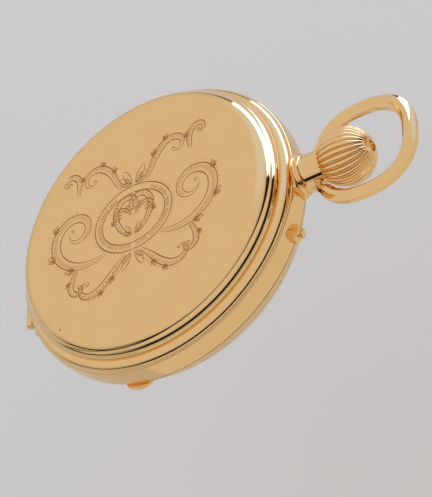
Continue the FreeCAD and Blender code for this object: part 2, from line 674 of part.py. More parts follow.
def escape_wheel():
    """Fifteen club teeth leaning forwards."""
    teeth = 15
    root_r = ESCAPE_R - 0.55
    club = ((root_r, 0.0), (ESCAPE_R, 7.5), (ESCAPE_R - 0.08, 11.0), (root_r, 9.0))
    points = []
    for index in range(teeth):
        for radius, offset in club:
            points.append(ESCAPE + polar(radius, index * 360.0 / teeth + offset))
    plate = prism(points, -0.12, 0.06)
    windows = ring(0.7, ESCAPE_R - 0.95, -1, 1, ESCAPE)
    arms = [bar(ESCAPE, ESCAPE + polar(ESCAPE_R - 0.85, angle), 0.24, 0.16, -1, 1)
            for angle in (0, 90, 180, 270)]
    pitch = 360.0 / ESCAPE_LEAVES
    phase = direction(ESCAPE, FOURTH) + pitch / 2
    leaves = toothed(ESCAPE_LEAVES, ESCAPE_PINION_R, phase, -0.8, -0.42, ESCAPE)
    arbor = disc(0.25, ARBOR_LOW, ARBOR_TOP, ESCAPE)
    pivot = disc(0.14, PIVOT_LOW, PIVOT_TOP, ESCAPE)
    return join(plate.cut(windows.cut(arms)), leaves, arbor, pivot)


def fork_axes():
    along = (BALANCE - PALLET).normalize()
    return along, V(-along.y, along.x, 0)


def pallet_fork():
    along, side = fork_axes()
    low, high = -0.12, 0.06
    arm_ends = [PALLET - along * 0.9 + side * (sign * 1.9) for sign in (1, -1)]
    arms = [bar(PALLET, end, 0.45, 0.26, low, high) for end in arm_ends]
    lever_end = PALLET + along * 4.2
    lever = bar(PALLET, lever_end, 0.4, 0.45, low, high)
    notch_start = lever_end + along * 0.05
    quad = [notch_start + side * 0.2, notch_start + side * 0.2 + along * 2,
            notch_start - side * 0.2 + along * 2, notch_start - side * 0.2]
    arbor = disc(0.17, -1.3, 0.9, PALLET)
    return join(arms[0], arms[1], lever, arbor).cut(prism(quad, -2, 2))


def pallet_stones():
    along, side = fork_axes()
    stones = []
    for sign in (1, -1):
        root = PALLET - along * 0.9 + side * (sign * 1.9)
        tip = root - along * 0.42
        stones.append(bar(root, tip, 0.15, 0.13, -0.2, -0.12))
    return stones


def balance_wheel():
    """Rim with timing screws and two arms."""
    low, high = -2.35, -1.9
    rim = ring(6.5, 7.1, low, high, BALANCE)
    arms = bar(BALANCE + polar(6.6, 30), BALANCE + polar(6.6, 210), 0.45, 0.45, -2.2, -2.02)
    hub = disc(1.0, -2.3, -1.95, BALANCE)
    screws = []
    count, first = 14, 36.43
    for index in range(count):
        angle = first + index * 360.0 / count
        start, end = BALANCE + polar(7.0, angle, -2.12), BALANCE + polar(7.55, angle, -2.12)
        screws.append(rod(0.2, start, end))
    return join(rim, arms, hub, *screws).cut(disc(0.3, -4, 0, BALANCE))


def balance_staff():
    return join(disc(0.3, -2.7, 0.1, BALANCE), disc(0.14, -3.2, 1.0, BALANCE))


def roller():
    table = ring(0.3, 1.1, -0.6, -0.4, BALANCE)
    pin_at = BALANCE + (PALLET - BALANCE).normalize() * 0.85
    return join(table, disc(0.12, -0.4, -0.2, pin_at))


def hairspring():
    return spiral(BALANCE, 0.85, 3.6, 9, 0.08, -2.62, -2.45)


def regulator():
    loop = ring(1.25, 1.9, COCK_LOW - 0.25, COCK_LOW, BALANCE)
    pointer = bar(BALANCE + polar(1.6, 96), BALANCE + polar(6.6, 96), 0.4, 0.16, COCK_LOW - 0.25, COCK_LOW)
    return join(loop, pointer.cut(disc(1.25, -5, 0, BALANCE)))


# ---------------------------------------------------------------- winding and setting

RATCHET_TEETH, CROWN_WHEEL_TEETH = 36, 24
RATCHET_R, CROWN_WHEEL_R = mesh_radii((BARREL - CROWN_WHEEL).Length, RATCHET_TEETH, CROWN_WHEEL_TEETH)
WINDING_LOW, WINDING_TOP = -3.0, -2.66


def ratchet_wheel():
    phase = direction(BARREL, CROWN_WHEEL)
    blank = toothed(RATCHET_TEETH, RATCHET_R, phase, WINDING_LOW, WINDING_TOP, BARREL)
    half = 0.6
    hole = box(BARREL.x - half, BARREL.x + half, BARREL.y - half, BARREL.y + half, -4, 0)
    return blank.cut(hole)


def crown_wheel():
    phase = direction(CROWN_WHEEL, BARREL) + 180.0 / CROWN_WHEEL_TEETH
    spur = toothed(CROWN_WHEEL_TEETH, CROWN_WHEEL_R, phase, WINDING_LOW, WINDING_TOP, CROWN_WHEEL)
    face_inner, face_outer, face_z, count = 2.5, 3.85, -2.15, 26
    face_ring = ring(face_inner, face_outer, WINDING_TOP, face_z, CROWN_WHEEL)
    face_teeth = []
    for index in range(count):
        tooth = box(face_inner, face_outer, -0.18, 0.18, face_z, face_z + 0.15)
        tooth.rotate(CENTRE, V(0, 0, 1), index * 360.0 / count)
        tooth.translate(CROWN_WHEEL)
        face_teeth.append(tooth)
    return join(spur, face_ring, *face_teeth).cut(disc(0.9, -4, 0, CROWN_WHEEL))


def crown_wheel_screw():
    collar_r, head_r, play = 0.85, 1.7, 0.02
    seat = WINDING_LOW - play
    head = screw(CROWN_WHEEL, seat, play, head_r, collar_r, 0.3)
    return join(disc(collar_r, seat, BRIDGE_LOW, CROWN_WHEEL), head)


def winding_pinion():
    teeth = toothed(14, 1.66, 0, 0, 1.4)
    teeth.rotate(CENTRE, V(0, 1, 0), 90)
    teeth.translate(V(16.05, 0, 0))
    return teeth.cut(square_way(15, 19))


def square_way(start, end):
    half = 0.47
    return box(start, end, -half, half, -half, half)


def clutch():
    sleeve = rod(1.25, V(13.7, 0, 0), V(15.95, 0, 0))
    groove = rod(2, V(14.3, 0, 0), V(14.9, 0, 0)).cut(rod(0.95, V(13, 0, 0), V(16, 0, 0)))
    return sleeve.cut([groove, square_way(12, 17)])


CLICK_ANGLE = 150.0


def click():
    """Pawl beside the ratchet wheel, its tip between two teeth."""
    pivot = BARREL + polar(RATCHET_R + 1.55, CLICK_ANGLE)
    tip = BARREL + polar(RATCHET_R + 0.62, CLICK_ANGLE - 17)
    return bar(pivot, tip, 0.8, 0.2, WINDING_LOW, WINDING_TOP)


def click_spring():
    inner = ring(9.35, 9.6, WINDING_LOW, WINDING_TOP, BARREL)
    arc = sector(0, 12, -4, 0, CLICK_ANGLE - 42, CLICK_ANGLE - 8)
    arc.translate(BARREL)
    foot = disc(0.7, WINDING_LOW, WINDING_TOP, BARREL + polar(9.3, CLICK_ANGLE - 43))
    return inner.common(arc).fuse(foot)


SETTING_PIVOT = V(15.2, -10.2, 0)


def setting_lever():
    low, high = -0.85, -0.35
    contact = polar(19.45, GUARD_ANGLE - 2.0)
    yoke = V(14.3, -2.0, 0)
    arms = [bar(SETTING_PIVOT, contact, 1.2, 0.7, low, high), bar(SETTING_PIVOT, yoke, 1.2, 0.28, low, high)]
    return join(*arms).cut(disc(0.55, -2, 2, SETTING_PIVOT))


def setting_stud():
    return disc(0.5, BRIDGE_TOP, PLATE_LOW, SETTING_PIVOT)


# ---------------------------------------------------------------- motion work and hands

CANNON_LEAVES, MINUTE_TEETH, MINUTE_LEAVES, HOUR_TEETH = 12, 36, 10, 40
CANNON_PITCH_R, MINUTE_R = mesh_radii(MOTION_DISTANCE, CANNON_LEAVES, MINUTE_TEETH)
MINUTE_PINION_R, HOUR_R = mesh_radii(MOTION_DISTANCE, MINUTE_LEAVES, HOUR_TEETH)


def cannon_pinion():
    leaves = toothed(CANNON_LEAVES, CANNON_PITCH_R, direction(CENTRE, MINUTE), 1.47, 1.75)
    tube = disc(0.55, 1.75, 3.7)
    return join(leaves, tube).cut(disc(0.3, 0, 5))


def minute_wheel():
    phase = direction(MINUTE, CENTRE) + 180.0 / MINUTE_TEETH
    plate = toothed(MINUTE_TEETH, MINUTE_R, phase, 1.5, 1.7, MINUTE)
    pinion = toothed(MINUTE_LEAVES, MINUTE_PINION_R, direction(MINUTE, CENTRE), 1.7, 2.1, MINUTE)
    return join(plate, pinion).cut(disc(0.32, 0, 4, MINUTE))


def minute_stud():
    return disc(0.27, PLATE_TOP, 2.1, MINUTE)


def hour_wheel():
    phase = direction(CENTRE, MINUTE) + 180.0 / HOUR_TEETH
    plate = toothed(HOUR_TEETH, HOUR_R, phase, 1.85, 2.05)
    pipe = disc(1.0, 2.05, 3.15)
    return join(plate, pipe).cut(disc(0.6, 0, 5))


HOUR_HAND_ANGLE, MINUTE_HAND_ANGLE, SECONDS_HAND_ANGLE = 145.0, 30.0, 90.0


def hand(angle, length, tail, hub_r, bore_r, low, high, width, at=CENTRE):
    """Slim pointer with a swelling two thirds of the way out."""
    swell = at + polar(length * 0.62, angle)
    tip = at + polar(length, angle)
    root = at + polar(-tail, angle)
    tip_half = 0.06
    shank = bar(root, swell, width * 0.6, width * 0.45, low, high)
    point = bar(swell, tip, width, tip_half, low, high)
    return join(disc(hub_r, low, high, at), shank, point).cut(disc(bore_r, low - 1, high + 1, at))


def hour_hand():
    return hand(HOUR_HAND_ANGLE, 10.6, 1.6, 1.45, 1.0, 2.98, 3.12, 0.85)


def minute_hand():
    return hand(MINUTE_HAND_ANGLE, 16.4, 2.4, 1.05, 0.55, 3.4, 3.54, 0.62)


def seconds_hand():
    return hand(SECONDS_HAND_ANGLE, 3.6, 1.3, 0.42, 0.16, 2.8, 2.9, 0.14, FOURTH)


# ---------------------------------------------------------------- assembly

def build_case():
    PIECES["case_middle"] = case_middle()
    PIECES["front_cover"] = lid()
    PIECES["back_cover"] = back_cover()
    PIECES["cuvette"] = cuvette()
    PIECES["cuvette_joint"] = cuvette_joint()
    PIECES["hinge_pins"] = hinge_pins()
    PIECES["bezel"] = bezel()
    PIECES["crystal"] = crystal()
    PIECES["pendant"] = pendant()
    PIECES["stem_sleeve"] = stem_sleeve()
    PIECES["crown"] = crown()
    PIECES["stem"] = stem()
    PIECES["bow"] = bow()
    PIECES["push_guard"] = push_guard()
    PIECES["push_pin"] = push_pin()
    PIECES["lock_spring"] = lock_spring()
    PIECES["lift_spring"] = lift_spring()


def build_movement():
    fixing = bridge_screws()
    clamps = case_screws()
    everything = fixing + clamps
    PIECES["main_plate"] = main_plate().cut(everything)
    PIECES["barrel_bridge"] = barrel_bridge().cut(everything)
    PIECES["train_bridge"] = train_bridge().cut(everything)
    PIECES["balance_cock"] = balance_cock().cut(everything)
    PIECES["pallet_cock"] = pallet_cock()
    PIECES["bridge_screws"] = group(fixing)
    PIECES["case_screws"] = group(clamps)
    PIECES["jewels"] = jewels()
    PIECES["barrel"] = barrel()
    PIECES["barrel_cover"] = barrel_cover()
    PIECES["mainspring"] = mainspring()
    PIECES["barrel_arbor"] = barrel_arbor()
    PIECES["centre_wheel"] = centre_wheel()
    PIECES["third_wheel"] = third_wheel()
    PIECES["fourth_wheel"] = fourth_wheel()
    PIECES["escape_wheel"] = escape_wheel()
    PIECES["pallet_fork"] = pallet_fork()
    PIECES["pallet_stones"] = group(pallet_stones())
    PIECES["balance_wheel"] = balance_wheel()
    PIECES["balance_staff"] = balance_staff()
    PIECES["roller"] = roller()
    PIECES["hairspring"] = hairspring()
    PIECES["regulator"] = regulator()


def build_winding():
    PIECES["ratchet_wheel"] = ratchet_wheel()
    PIECES["crown_wheel"] = crown_wheel()
    PIECES["crown_wheel_screw"] = crown_wheel_screw()
    PIECES["winding_pinion"] = winding_pinion()
    PIECES["clutch"] = clutch()
    PIECES["click"] = click()
    PIECES["click_spring"] = click_spring()
    PIECES["setting_lever"] = setting_lever()
    PIECES["setting_stud"] = setting_stud()


def build_dial_side():
    PIECES["dial"] = dial()
    PIECES["dial_feet"] = dial_feet()
    PIECES["cannon_pinion"] = cannon_pinion()
    PIECES["minute_wheel"] = minute_wheel()
    PIECES["minute_stud"] = minute_stud()
    PIECES["hour_wheel"] = hour_wheel()
    PIECES["hour_hand"] = hour_hand()
    PIECES["minute_hand"] = minute_hand()
    PIECES["seconds_hand"] = seconds_hand()


def write_pieces():
    os.makedirs("parts", exist_ok=True)
    for name, shape in PIECES.items():
        shape.translate(V(0, 0, HALF_THICKNESS))
        shape.exportStep("parts/" + name + ".step")
        print(name, "valid" if shape.isValid() else "NOT VALID", len(shape.Solids), round(shape.Volume, 4))


build_case()
build_movement()
build_winding()
build_dial_side()
write_pieces()
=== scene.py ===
import json
import math

import bmesh
import bpy
from mathutils import Matrix, Vector
from mathutils.geometry import delaunay_2d_cdt
from mathutils.kdtree import KDTree


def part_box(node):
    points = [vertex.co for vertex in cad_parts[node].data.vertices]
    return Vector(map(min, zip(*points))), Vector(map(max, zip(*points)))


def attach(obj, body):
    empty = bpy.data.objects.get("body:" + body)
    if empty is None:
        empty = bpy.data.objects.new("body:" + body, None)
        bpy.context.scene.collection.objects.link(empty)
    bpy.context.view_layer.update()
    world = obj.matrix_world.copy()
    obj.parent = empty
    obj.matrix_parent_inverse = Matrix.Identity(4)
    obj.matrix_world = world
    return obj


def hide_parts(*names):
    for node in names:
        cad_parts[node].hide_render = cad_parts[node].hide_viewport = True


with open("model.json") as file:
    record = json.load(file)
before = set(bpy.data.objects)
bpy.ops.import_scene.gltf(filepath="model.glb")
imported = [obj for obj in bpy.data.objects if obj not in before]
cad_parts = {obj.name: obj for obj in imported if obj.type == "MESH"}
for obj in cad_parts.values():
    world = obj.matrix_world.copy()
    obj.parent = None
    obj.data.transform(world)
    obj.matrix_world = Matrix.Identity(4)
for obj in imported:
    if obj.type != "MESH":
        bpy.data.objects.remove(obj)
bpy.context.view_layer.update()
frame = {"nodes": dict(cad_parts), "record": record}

# Looks of a hunter pocket watch.  Lengths in the helpers are millimetres, and heights are
# counted from the middle plane of the case; build() turns both into the frame's metres.

MM = 0.001
MIDDLE = (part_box("front_cover")[1].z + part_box("back_cover")[0].z) / 2 / MM
ROUND = 240                # segments round the case
SMOOTH_BELOW = math.radians(24)
LEVEL = 0.999999           # faces whose normal is this upright are shaded flat
SEAM = (24.72, 1.95)       # cover rim: (radius, height) of the outline's corners
STEP = (23.43, 3.12)
SHOULDER = (22.77, 4.79)
DISC_R = 20.7
TOP_Z = 6.1
SHELL = 0.55
BAND_R, BAND_EDGE_R, BAND_HALF = 25.0, 24.9, 1.85
HINGE_X, HINGE_Z, HINGE_HALF = -24.15, 1.15, 8.4
KNUCKLE_R, PIN_R = 0.75, 0.33
KNUCKLE_EDGES = (-8.4, -5.4, -1.8, 1.8, 5.4, 8.4)
KNUCKLE_GAP = 0.04
STRAP_START = 0.28         # from the joint's axis
LIP_ANGLE = -103.5         # thumb lip on the back cover, degrees from +X
NOTCH_X = -22.97           # flat wall of the band behind the lid joints
NOTCH_HALF = math.degrees(math.asin((HINGE_HALF + 0.05) / 24.6))
CHANNEL = (-60.0, 150.0)   # sprung channel in the band, degrees from +X
PENDANT_R = 2.65
CROWN_START, CROWN_END, CROWN_MIDDLE, CROWN_R = 29.7, 37.6, 33.3, 4.5
CROWN_INNER_HALF, CROWN_OUTER_HALF = 5.0, 4.42
CROWN_RIBS, RIB_SAMPLES, RIB_DEPTH = 28, 12, 0.48
CROWN_SAMPLES = CROWN_RIBS * RIB_SAMPLES
BOW_TIP_X, BOW_PIVOT_X, BOW_HALF_WIDTH, BOW_POWER = 44.07, 28.3, 7.7, 2.35
BOW_LAST = 72.0            # turn at which the bow leaves its oval for the stud
BOW_SIZE, BOW_THINNING = 0.78, 0.1     # scale of the section at the tip, and what it loses towards the ends
STUD_SIZE, STUD_BLEND = 0.42, 26       # scale at the stud, and stations over which the section goes round
GUARD_ANGLE, GUARD_Z = -22.0, -0.95
DIAL_R, DIAL_LOW, DIAL_TOP = 20.4, 2.2, 2.65
SECONDS_AT, SINK_R, SINK = (0.0, -9.6), 4.3, 0.12
QUARTER_RISE = 0.29        # rise of a quarter round above its chord, for a radius of 1


# ---------------------------------------- outlines

def arc(start, end, rise, count):
    """Points of an arc standing `rise` to the right of its chord, without the first point."""
    a, b = Vector(start), Vector(end)
    chord = b - a
    half = chord.length / 2
    along = chord.normalized()
    side = Vector((along.y, -along.x))
    radius = (half * half + rise * rise) / (2 * rise)
    centre = (a + b) / 2 + side * (rise - radius)
    reach = math.asin(min(1.0, half / radius))
    points = []
    for index in range(1, count + 1):
        turn = reach * (2 * index / count - 1)
        points.append(tuple(centre + (side * math.cos(turn) + along * math.sin(turn)) * radius))
    return points


def circle_points(radius, count, at=(0.0, 0.0)):
    turns = [2 * math.pi * index / count for index in range(count)]
    return [(at[0] + radius * math.cos(turn), at[1] + radius * math.sin(turn)) for turn in turns]


# ---------------------------------------- solids, each (points, faces)

def skin(rings, loop_round=True, loop_along=True, caps=False):
    """Faces between rings of equal length."""
    size = len(rings[0])
    points = [point for outline in rings for point in outline]
    faces = []
    for row in range(len(rings) if loop_along else len(rings) - 1):
        here, there = row * size, (row + 1) % len(rings) * size
        for column in range(size if loop_round else size - 1):
            after = (column + 1) % size
            faces.append((here + column, here + after, there + after, there + column))
    if caps:
        faces.append(tuple(range(size)))
        faces.append(tuple(range(len(points) - size, len(points))))
    return points, faces


def turned(profile, count=ROUND, closed=True):
    """Full turn about Z of (radius, height) points."""
    rings = []
    for index in range(count):
        turn = 2 * math.pi * index / count
        rings.append([(r * math.cos(turn), r * math.sin(turn), z) for r, z in profile])
    return skin(rings, loop_round=closed)


def along_x(solid):
    points, faces = solid
    return [(z, x, y) for x, y, z in points], faces


def along_y(solid):
    points, faces = solid
    return [(y, z, x) for x, y, z in points], faces


def moved(solid, shift):
    points, faces = solid
    return [tuple(Vector(point) + Vector(shift)) for point in points], faces


def turned_by(solid, degrees):
    spin = Matrix.Rotation(math.radians(degrees), 3, "Z")
    points, faces = solid
    return [tuple(spin @ Vector(point)) for point in points], faces


def upside_down(solid):
    points, faces = solid
    return [(x, y, -z) for x, y, z in points], faces


def prism(outline, low, high):
    return skin([[(x, y, z) for x, y in outline] for z in (low, high)], loop_along=False, caps=True)


def rounded_sleeve(inner, outer, low, high, edge, count):
    """Sleeve, or disc if `inner` is 0, with rounded outer edges."""
    profile = [(inner, low), (outer - edge, low)]
    profile += arc((outer - edge, low), (outer, low + edge), edge * QUARTER_RISE, 3)
    profile.append((outer, high - edge))
    profile += arc((outer, high - edge), (outer - edge, high), edge * QUARTER_RISE, 3)
    profile.append((inner, high))
    return turned(profile, count)


def ring(inner, outer, low, high, at, count):
    profile = [(inner, low), (outer, low), (outer, high), (inner, high)]
    return moved(turned(profile, count), (at[0], at[1], 0))


# ---------------------------------------- pieces

def build(name, solids, body, materials, nodes, face_material=None):
    """One riding piece from several closed solids."""
    mesh_builder = bmesh.new()
    for points, faces in solids:
        corners = [mesh_builder.verts.new((x * MM, y * MM, (z + MIDDLE) * MM)) for x, y, z in points]
        for face in faces:
            used = [corners[index] for index in face]
            if len(set(used)) > 2:
                mesh_builder.faces.new(used)
        bmesh.ops.remove_doubles(mesh_builder, verts=corners, dist=MM * 1e-4)
    bmesh.ops.dissolve_degenerate(mesh_builder, edges=mesh_builder.edges, dist=MM * 1e-5)
    bmesh.ops.recalc_face_normals(mesh_builder, faces=mesh_builder.faces)
    mesh_builder.normal_update()
    mesh = bpy.data.meshes.new(name)
    for material in materials:
        mesh.materials.append(material)
    for face in mesh_builder.faces:
        face.smooth = abs(face.normal.z) < LEVEL
        if face_material:
            face.material_index = face_material(face)
    mesh_builder.to_mesh(mesh)
    mesh_builder.free()
    mesh.set_sharp_from_angle(angle=SMOOTH_BELOW)
    piece = bpy.data.objects.new(name, mesh)
    bpy.context.scene.collection.objects.link(piece)
    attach(piece, body)
    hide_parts(*nodes)
    return piece


# ---------------------------------------- case

def cover_profile(flat_start):
    """Front cover from the edge of its flat, round the rim and back inside to the axis."""
    flat, inner_flat = (DISC_R, TOP_Z), (DISC_R - 0.3, TOP_Z - SHELL)
    inner_shoulder = (SHOULDER[0] - 0.6, SHOULDER[1] - 0.35)
    rim = arc(SEAM, STEP, 0.33, 14) + arc(STEP, SHOULDER, 0.22, 12) + arc(SHOULDER, flat, 0.35, 16)
    outside = [SEAM] + rim
    inside = [(SEAM[0] - 0.75, SEAM[1]), (STEP[0] - 0.6, STEP[1] - 0.2), inner_shoulder]
    inside += arc(inner_shoulder, inner_flat, 0.2, 6)
    inside.append((0.0, TOP_Z - SHELL))
    return flat_start + outside[::-1] + inside


def knuckle_spans(moving):
    pairs = list(zip(KNUCKLE_EDGES, KNUCKLE_EDGES[1:]))
    return pairs[1 if moving else 0::2]


def knuckle_tube(low, high):
    edge, segments = 0.08, 40
    tube = rounded_sleeve(PIN_R, KNUCKLE_R, low + KNUCKLE_GAP, high - KNUCKLE_GAP, edge, segments)
    return moved(along_y(tube), (HINGE_X, 0, HINGE_Z))


def web(x_low, x_high, low, high, z_low, z_high):
    """Strap between a knuckle and its lid or band."""
    low, high = low + KNUCKLE_GAP, high - KNUCKLE_GAP
    return prism([(x_low, low), (x_high, low), (x_high, high), (x_low, high)], z_low, z_high)


def lid_joint():
    """Knuckles of the front lid, each with a strap up to the rim."""
    start, end = HINGE_X + STRAP_START, HINGE_X + 0.68
    foot, top = HINGE_Z + 0.1, SEAM[1] + 0.33
    solids = []
    for low, high in knuckle_spans(True):
        solids += [knuckle_tube(low, high), web(start, end, low, high, foot, top)]
    return solids


def thumb_lip():
    """Lens-shaped lip below the rear seam."""
    half_angle, root, reach, low, high = 5.6, 24.3, 25.62, -2.62, -2.06
    rings = []
    for index in range(33):
        share = index / 16 - 1
        turn = math.radians(LIP_ANGLE + half_angle * share)
        tip = root + 0.2 + (reach - root - 0.2) * math.sqrt(max(0.0, 1 - share * share))
        middle, blunt = (low + high) / 2, 0.2
        section = [(root, low), (tip - blunt, low)] + arc((tip - blunt, low), (tip, middle), 0.09, 4)
        section += arc((tip, middle), (tip - blunt, high), 0.09, 4) + [(root, high)]
        rings.append([(r * math.cos(turn), r * math.sin(turn), z) for r, z in section])
    return skin(rings, loop_along=False, caps=True)


def band_profile(turn_degrees, channel, notch):
    """Outline of the band at one angle, always with the same number of points."""
    seat_r, ledge_r, tail_r, plate_z, tail_z = 21.3, 20.9, 21.6, 0.2, -2.6
    channel_outer, channel_inner = 23.9, 22.3
    floor_z = 0.98 if channel else BAND_HALF
    edge = 0.3
    edge_top, edge_low = (BAND_EDGE_R, BAND_HALF - edge), (BAND_EDGE_R, edge - BAND_HALF)
    top, low = (BAND_EDGE_R - edge, BAND_HALF), (BAND_EDGE_R - edge, -BAND_HALF)
    profile = [(seat_r, BAND_HALF), (seat_r, plate_z), (ledge_r, plate_z), (ledge_r, tail_z),
               (tail_r, tail_z), (tail_r, -BAND_HALF), low]
    profile += arc(low, edge_low, 0.09, 5)
    profile += arc(edge_low, edge_top, BAND_R - BAND_EDGE_R, 14)
    profile += arc(edge_top, top, 0.09, 5)
    profile += [(channel_outer, BAND_HALF), (channel_outer, floor_z), (channel_inner, floor_z),
                (channel_inner, BAND_HALF)]
    if notch:
        wall = NOTCH_X / math.cos(math.radians(turn_degrees))
        profile = [(min(r, wall), z) for r, z in profile]
    return profile


def band():
    """Band of the case: sprung channel in its front face, notch for the lid joints."""
    edges = [(CHANNEL[0], CHANNEL[1], True, False), (CHANNEL[1], 180 - NOTCH_HALF, False, False),
             (180 - NOTCH_HALF, 180 + NOTCH_HALF, False, True),
             (180 + NOTCH_HALF, 360 + CHANNEL[0], False, False)]
    rings = []
    for start, end, channel, notch in edges:
        count = max(4, round(ROUND * (end - start) / 360))
        for index in range(count + 1):
            degrees = start + (end - start) * index / count
            turn = math.radians(degrees)
            profile = band_profile(degrees, channel, notch)
            rings.append([(r * math.cos(turn), r * math.sin(turn), z) for r, z in profile])
    return skin(rings)


def case_joint():
    """Knuckles of the band, front and back, each with an arm to the wall of the notch."""
    start, end = HINGE_X + STRAP_START, HINGE_X + 1.5
    foot, top = HINGE_Z - 0.68, HINGE_Z - 0.02
    solids = []
    for low, high in knuckle_spans(False):
        tube = knuckle_tube(low, high)
        arm = web(start, end, low, high, foot, top)
        solids += [tube, arm, upside_down(tube), upside_down(arm)]
    return solids


def neck():
    """Pendant: flange at the band, thin collar, plain tube, and a block that joins it to the band."""
    bore, foot, end = 1.3, 25.2, 30.3
    flange_r, waist_r, collar_r, end_r = 3.35, 2.95, 3.15, 2.35
    profile = [(bore, foot), (flange_r, foot), (flange_r, 25.32)]
    profile += arc((flange_r, 25.32), (waist_r, 25.75), -0.12, 8)
    profile += arc((waist_r, 25.75), (collar_r, 26.0), 0.05, 4)
    profile.append((collar_r, 26.3))
    profile += arc((collar_r, 26.3), (2.72, 26.62), -0.1, 6)
    profile += [(PENDANT_R, 26.9), (PENDANT_R, 29.98)]
    profile += arc((PENDANT_R, 29.98), (end_r, end), 0.09, 5)
    profile.append((bore, end))
    tube = along_x(turned(profile, 120))
    block_r, block_x, half_angle, half_height = 24.97, 25.25, 7.4, 1.75
    root = []
    for index in range(17):
        turn = math.radians((index / 8 - 1) * half_angle)
        root.append((block_r * math.cos(turn), block_r * math.sin(turn)))
    tip_y = root[-1][1]
    return [tube, prism(root + [(block_x, tip_y), (block_x, -tip_y)], -half_height, half_height)]


def crown_radius(along):
    half = CROWN_INNER_HALF if along < CROWN_MIDDLE else CROWN_OUTER_HALF
    return CROWN_R * math.sqrt(1 - ((along - CROWN_MIDDLE) / half) ** 2)


def ribbed_ring(along):
    """One ring of the ball: round ribs with sharp valleys, finer towards the dimple."""
    no_ribs_r, fade, sharpness = 0.85, 2.6, 0.985
    radius = crown_radius(along)
    depth = RIB_DEPTH * min(1.0, max(0.0, radius - no_ribs_r) / fade)
    reaches = []
    for index in range(CROWN_SAMPLES):
        side = 2 * (index % RIB_SAMPLES) / RIB_SAMPLES - 1
        reaches.append(radius - depth * (1 - math.sqrt(1 - (sharpness * side) ** 2)))
    return crown_ring(along, reaches)


def crown_ring(along, reaches):
    turns = [2 * math.pi * (index + RIB_SAMPLES / 2) / CROWN_SAMPLES for index in range(CROWN_SAMPLES)]
    return [(along, reach * math.cos(turn), reach * math.sin(turn)) for reach, turn in zip(reaches, turns)]


def plain_ring(along, radius):
    return crown_ring(along, [radius] * CROWN_SAMPLES)


def fluted_crown():
    """Ball crown, hollow where the neck enters, with a dimple in its end."""
    stations, hollow_end, hollow_r = 40, 31.2, 2.85
    rings = [plain_ring(hollow_end, 0.0), plain_ring(hollow_end, hollow_r), plain_ring(CROWN_START, hollow_r)]
    start = -math.asin((CROWN_MIDDLE - CROWN_START) / CROWN_INNER_HALF)
    end = math.asin((CROWN_END - CROWN_MIDDLE) / CROWN_OUTER_HALF)
    for index in range(stations + 1):
        angle = start + (end - start) * (index / stations)
        half = CROWN_INNER_HALF if angle < 0 else CROWN_OUTER_HALF
        rings.append(ribbed_ring(CROWN_MIDDLE + half * math.sin(angle)))
    dimple = [(0.0, 1.0), (0.08, 0.9), (0.66, 0.86), (0.7, 0.0)]     # (depth, radius)
    rings += [plain_ring(CROWN_END - depth, radius) for depth, radius in dimple]
    return skin(rings, loop_along=False)


def bow_centre(turn):
    """Centre line of the bow; turn is -90 to 90 degrees and 0 at the tip."""
    half_height = (BOW_TIP_X - BOW_PIVOT_X) / 2
    angle = math.radians(turn * 2)
    cosine, sine = math.cos(angle), math.sin(angle)
    power = 2 / BOW_POWER
    x = BOW_TIP_X - half_height + math.copysign(half_height * abs(cosine) ** power, cosine)
    return Vector((x, math.copysign(BOW_HALF_WIDTH * abs(sine) ** power, sine)))


def bow_line():
    """Centre line from stud to stud: (point, size) pairs."""
    trail = []
    steps, tail_steps = 150, 24
    for index in range(steps + 1):
        turn = BOW_LAST * (2 * index / steps - 1)
        trail.append((bow_centre(turn), BOW_SIZE - BOW_THINNING * (abs(turn) / 90) ** 2))
    end, before = trail[-1][0], trail[-2][0]
    stud = Vector((BOW_PIVOT_X, PENDANT_R - 0.35))
    first = end + (end - before).normalized() * 0.9
    second = Vector((BOW_PIVOT_X - 0.3, PENDANT_R + 1.5))
    tail = []
    for index in range(1, tail_steps + 1):
        share = index / tail_steps
        rest = 1 - share
        point = end * rest ** 3 + first * 3 * rest * rest * share
        point += second * 3 * rest * share * share + stud * share ** 3
        kept = rest ** 1.6
        tail.append((point, trail[-1][1] * kept + STUD_SIZE * (1 - kept)))
    head = [(Vector((point.x, -point.y)), size) for point, size in reversed(tail)]
    return head + trail + tail


def bow_outline(size, roundness):
    """Bevelled section with slightly convex faces, going round as it nears a stud."""
    wide, deep, ridge, crest, round_r = 1.45, 1.3, 0.55, 0.5, 1.24
    corners = [(wide, ridge), (crest, deep), (-crest, deep), (-wide, ridge),
               (-wide, -ridge), (-crest, -deep), (crest, -deep), (wide, -ridge)]
    points = []
    for start, end in zip(corners, corners[1:] + corners[:1]):
        points += [start] + arc(start, end, -0.05, 4)[:-1]
    shaped = []
    for x, y in points:
        share = 1 - roundness + roundness * round_r / math.hypot(x, y)
        shaped.append((x * share * size, y * share * size))
    return shaped


def bow_ring():
    """Bow from stud to stud, with a thin collar at each side of the neck."""
    line = bow_line()
    rings = []
    for index, (point, size) in enumerate(line):
        before, after = line[max(0, index - 1)][0], line[min(len(line) - 1, index + 1)][0]
        ahead = (after - before).normalized()
        out = Vector((ahead.y, -ahead.x))
        roundness = max(0.0, 1 - min(index, len(line) - 1 - index) / STUD_BLEND)
        outline = bow_outline(size, roundness)
        rings.append([(point.x + out.x * a, point.y + out.y * a, b) for a, b in outline])
    solids = [skin(rings, loop_along=False, caps=True)]
    collar = rounded_sleeve(0.0, 0.8, PENDANT_R + 0.06, PENDANT_R + 0.32, 0.06, 48)
    for half in (collar, upside_down(collar)):
        solids.append(moved(along_y(half), (BOW_PIVOT_X, 0, 0)))
    return solids


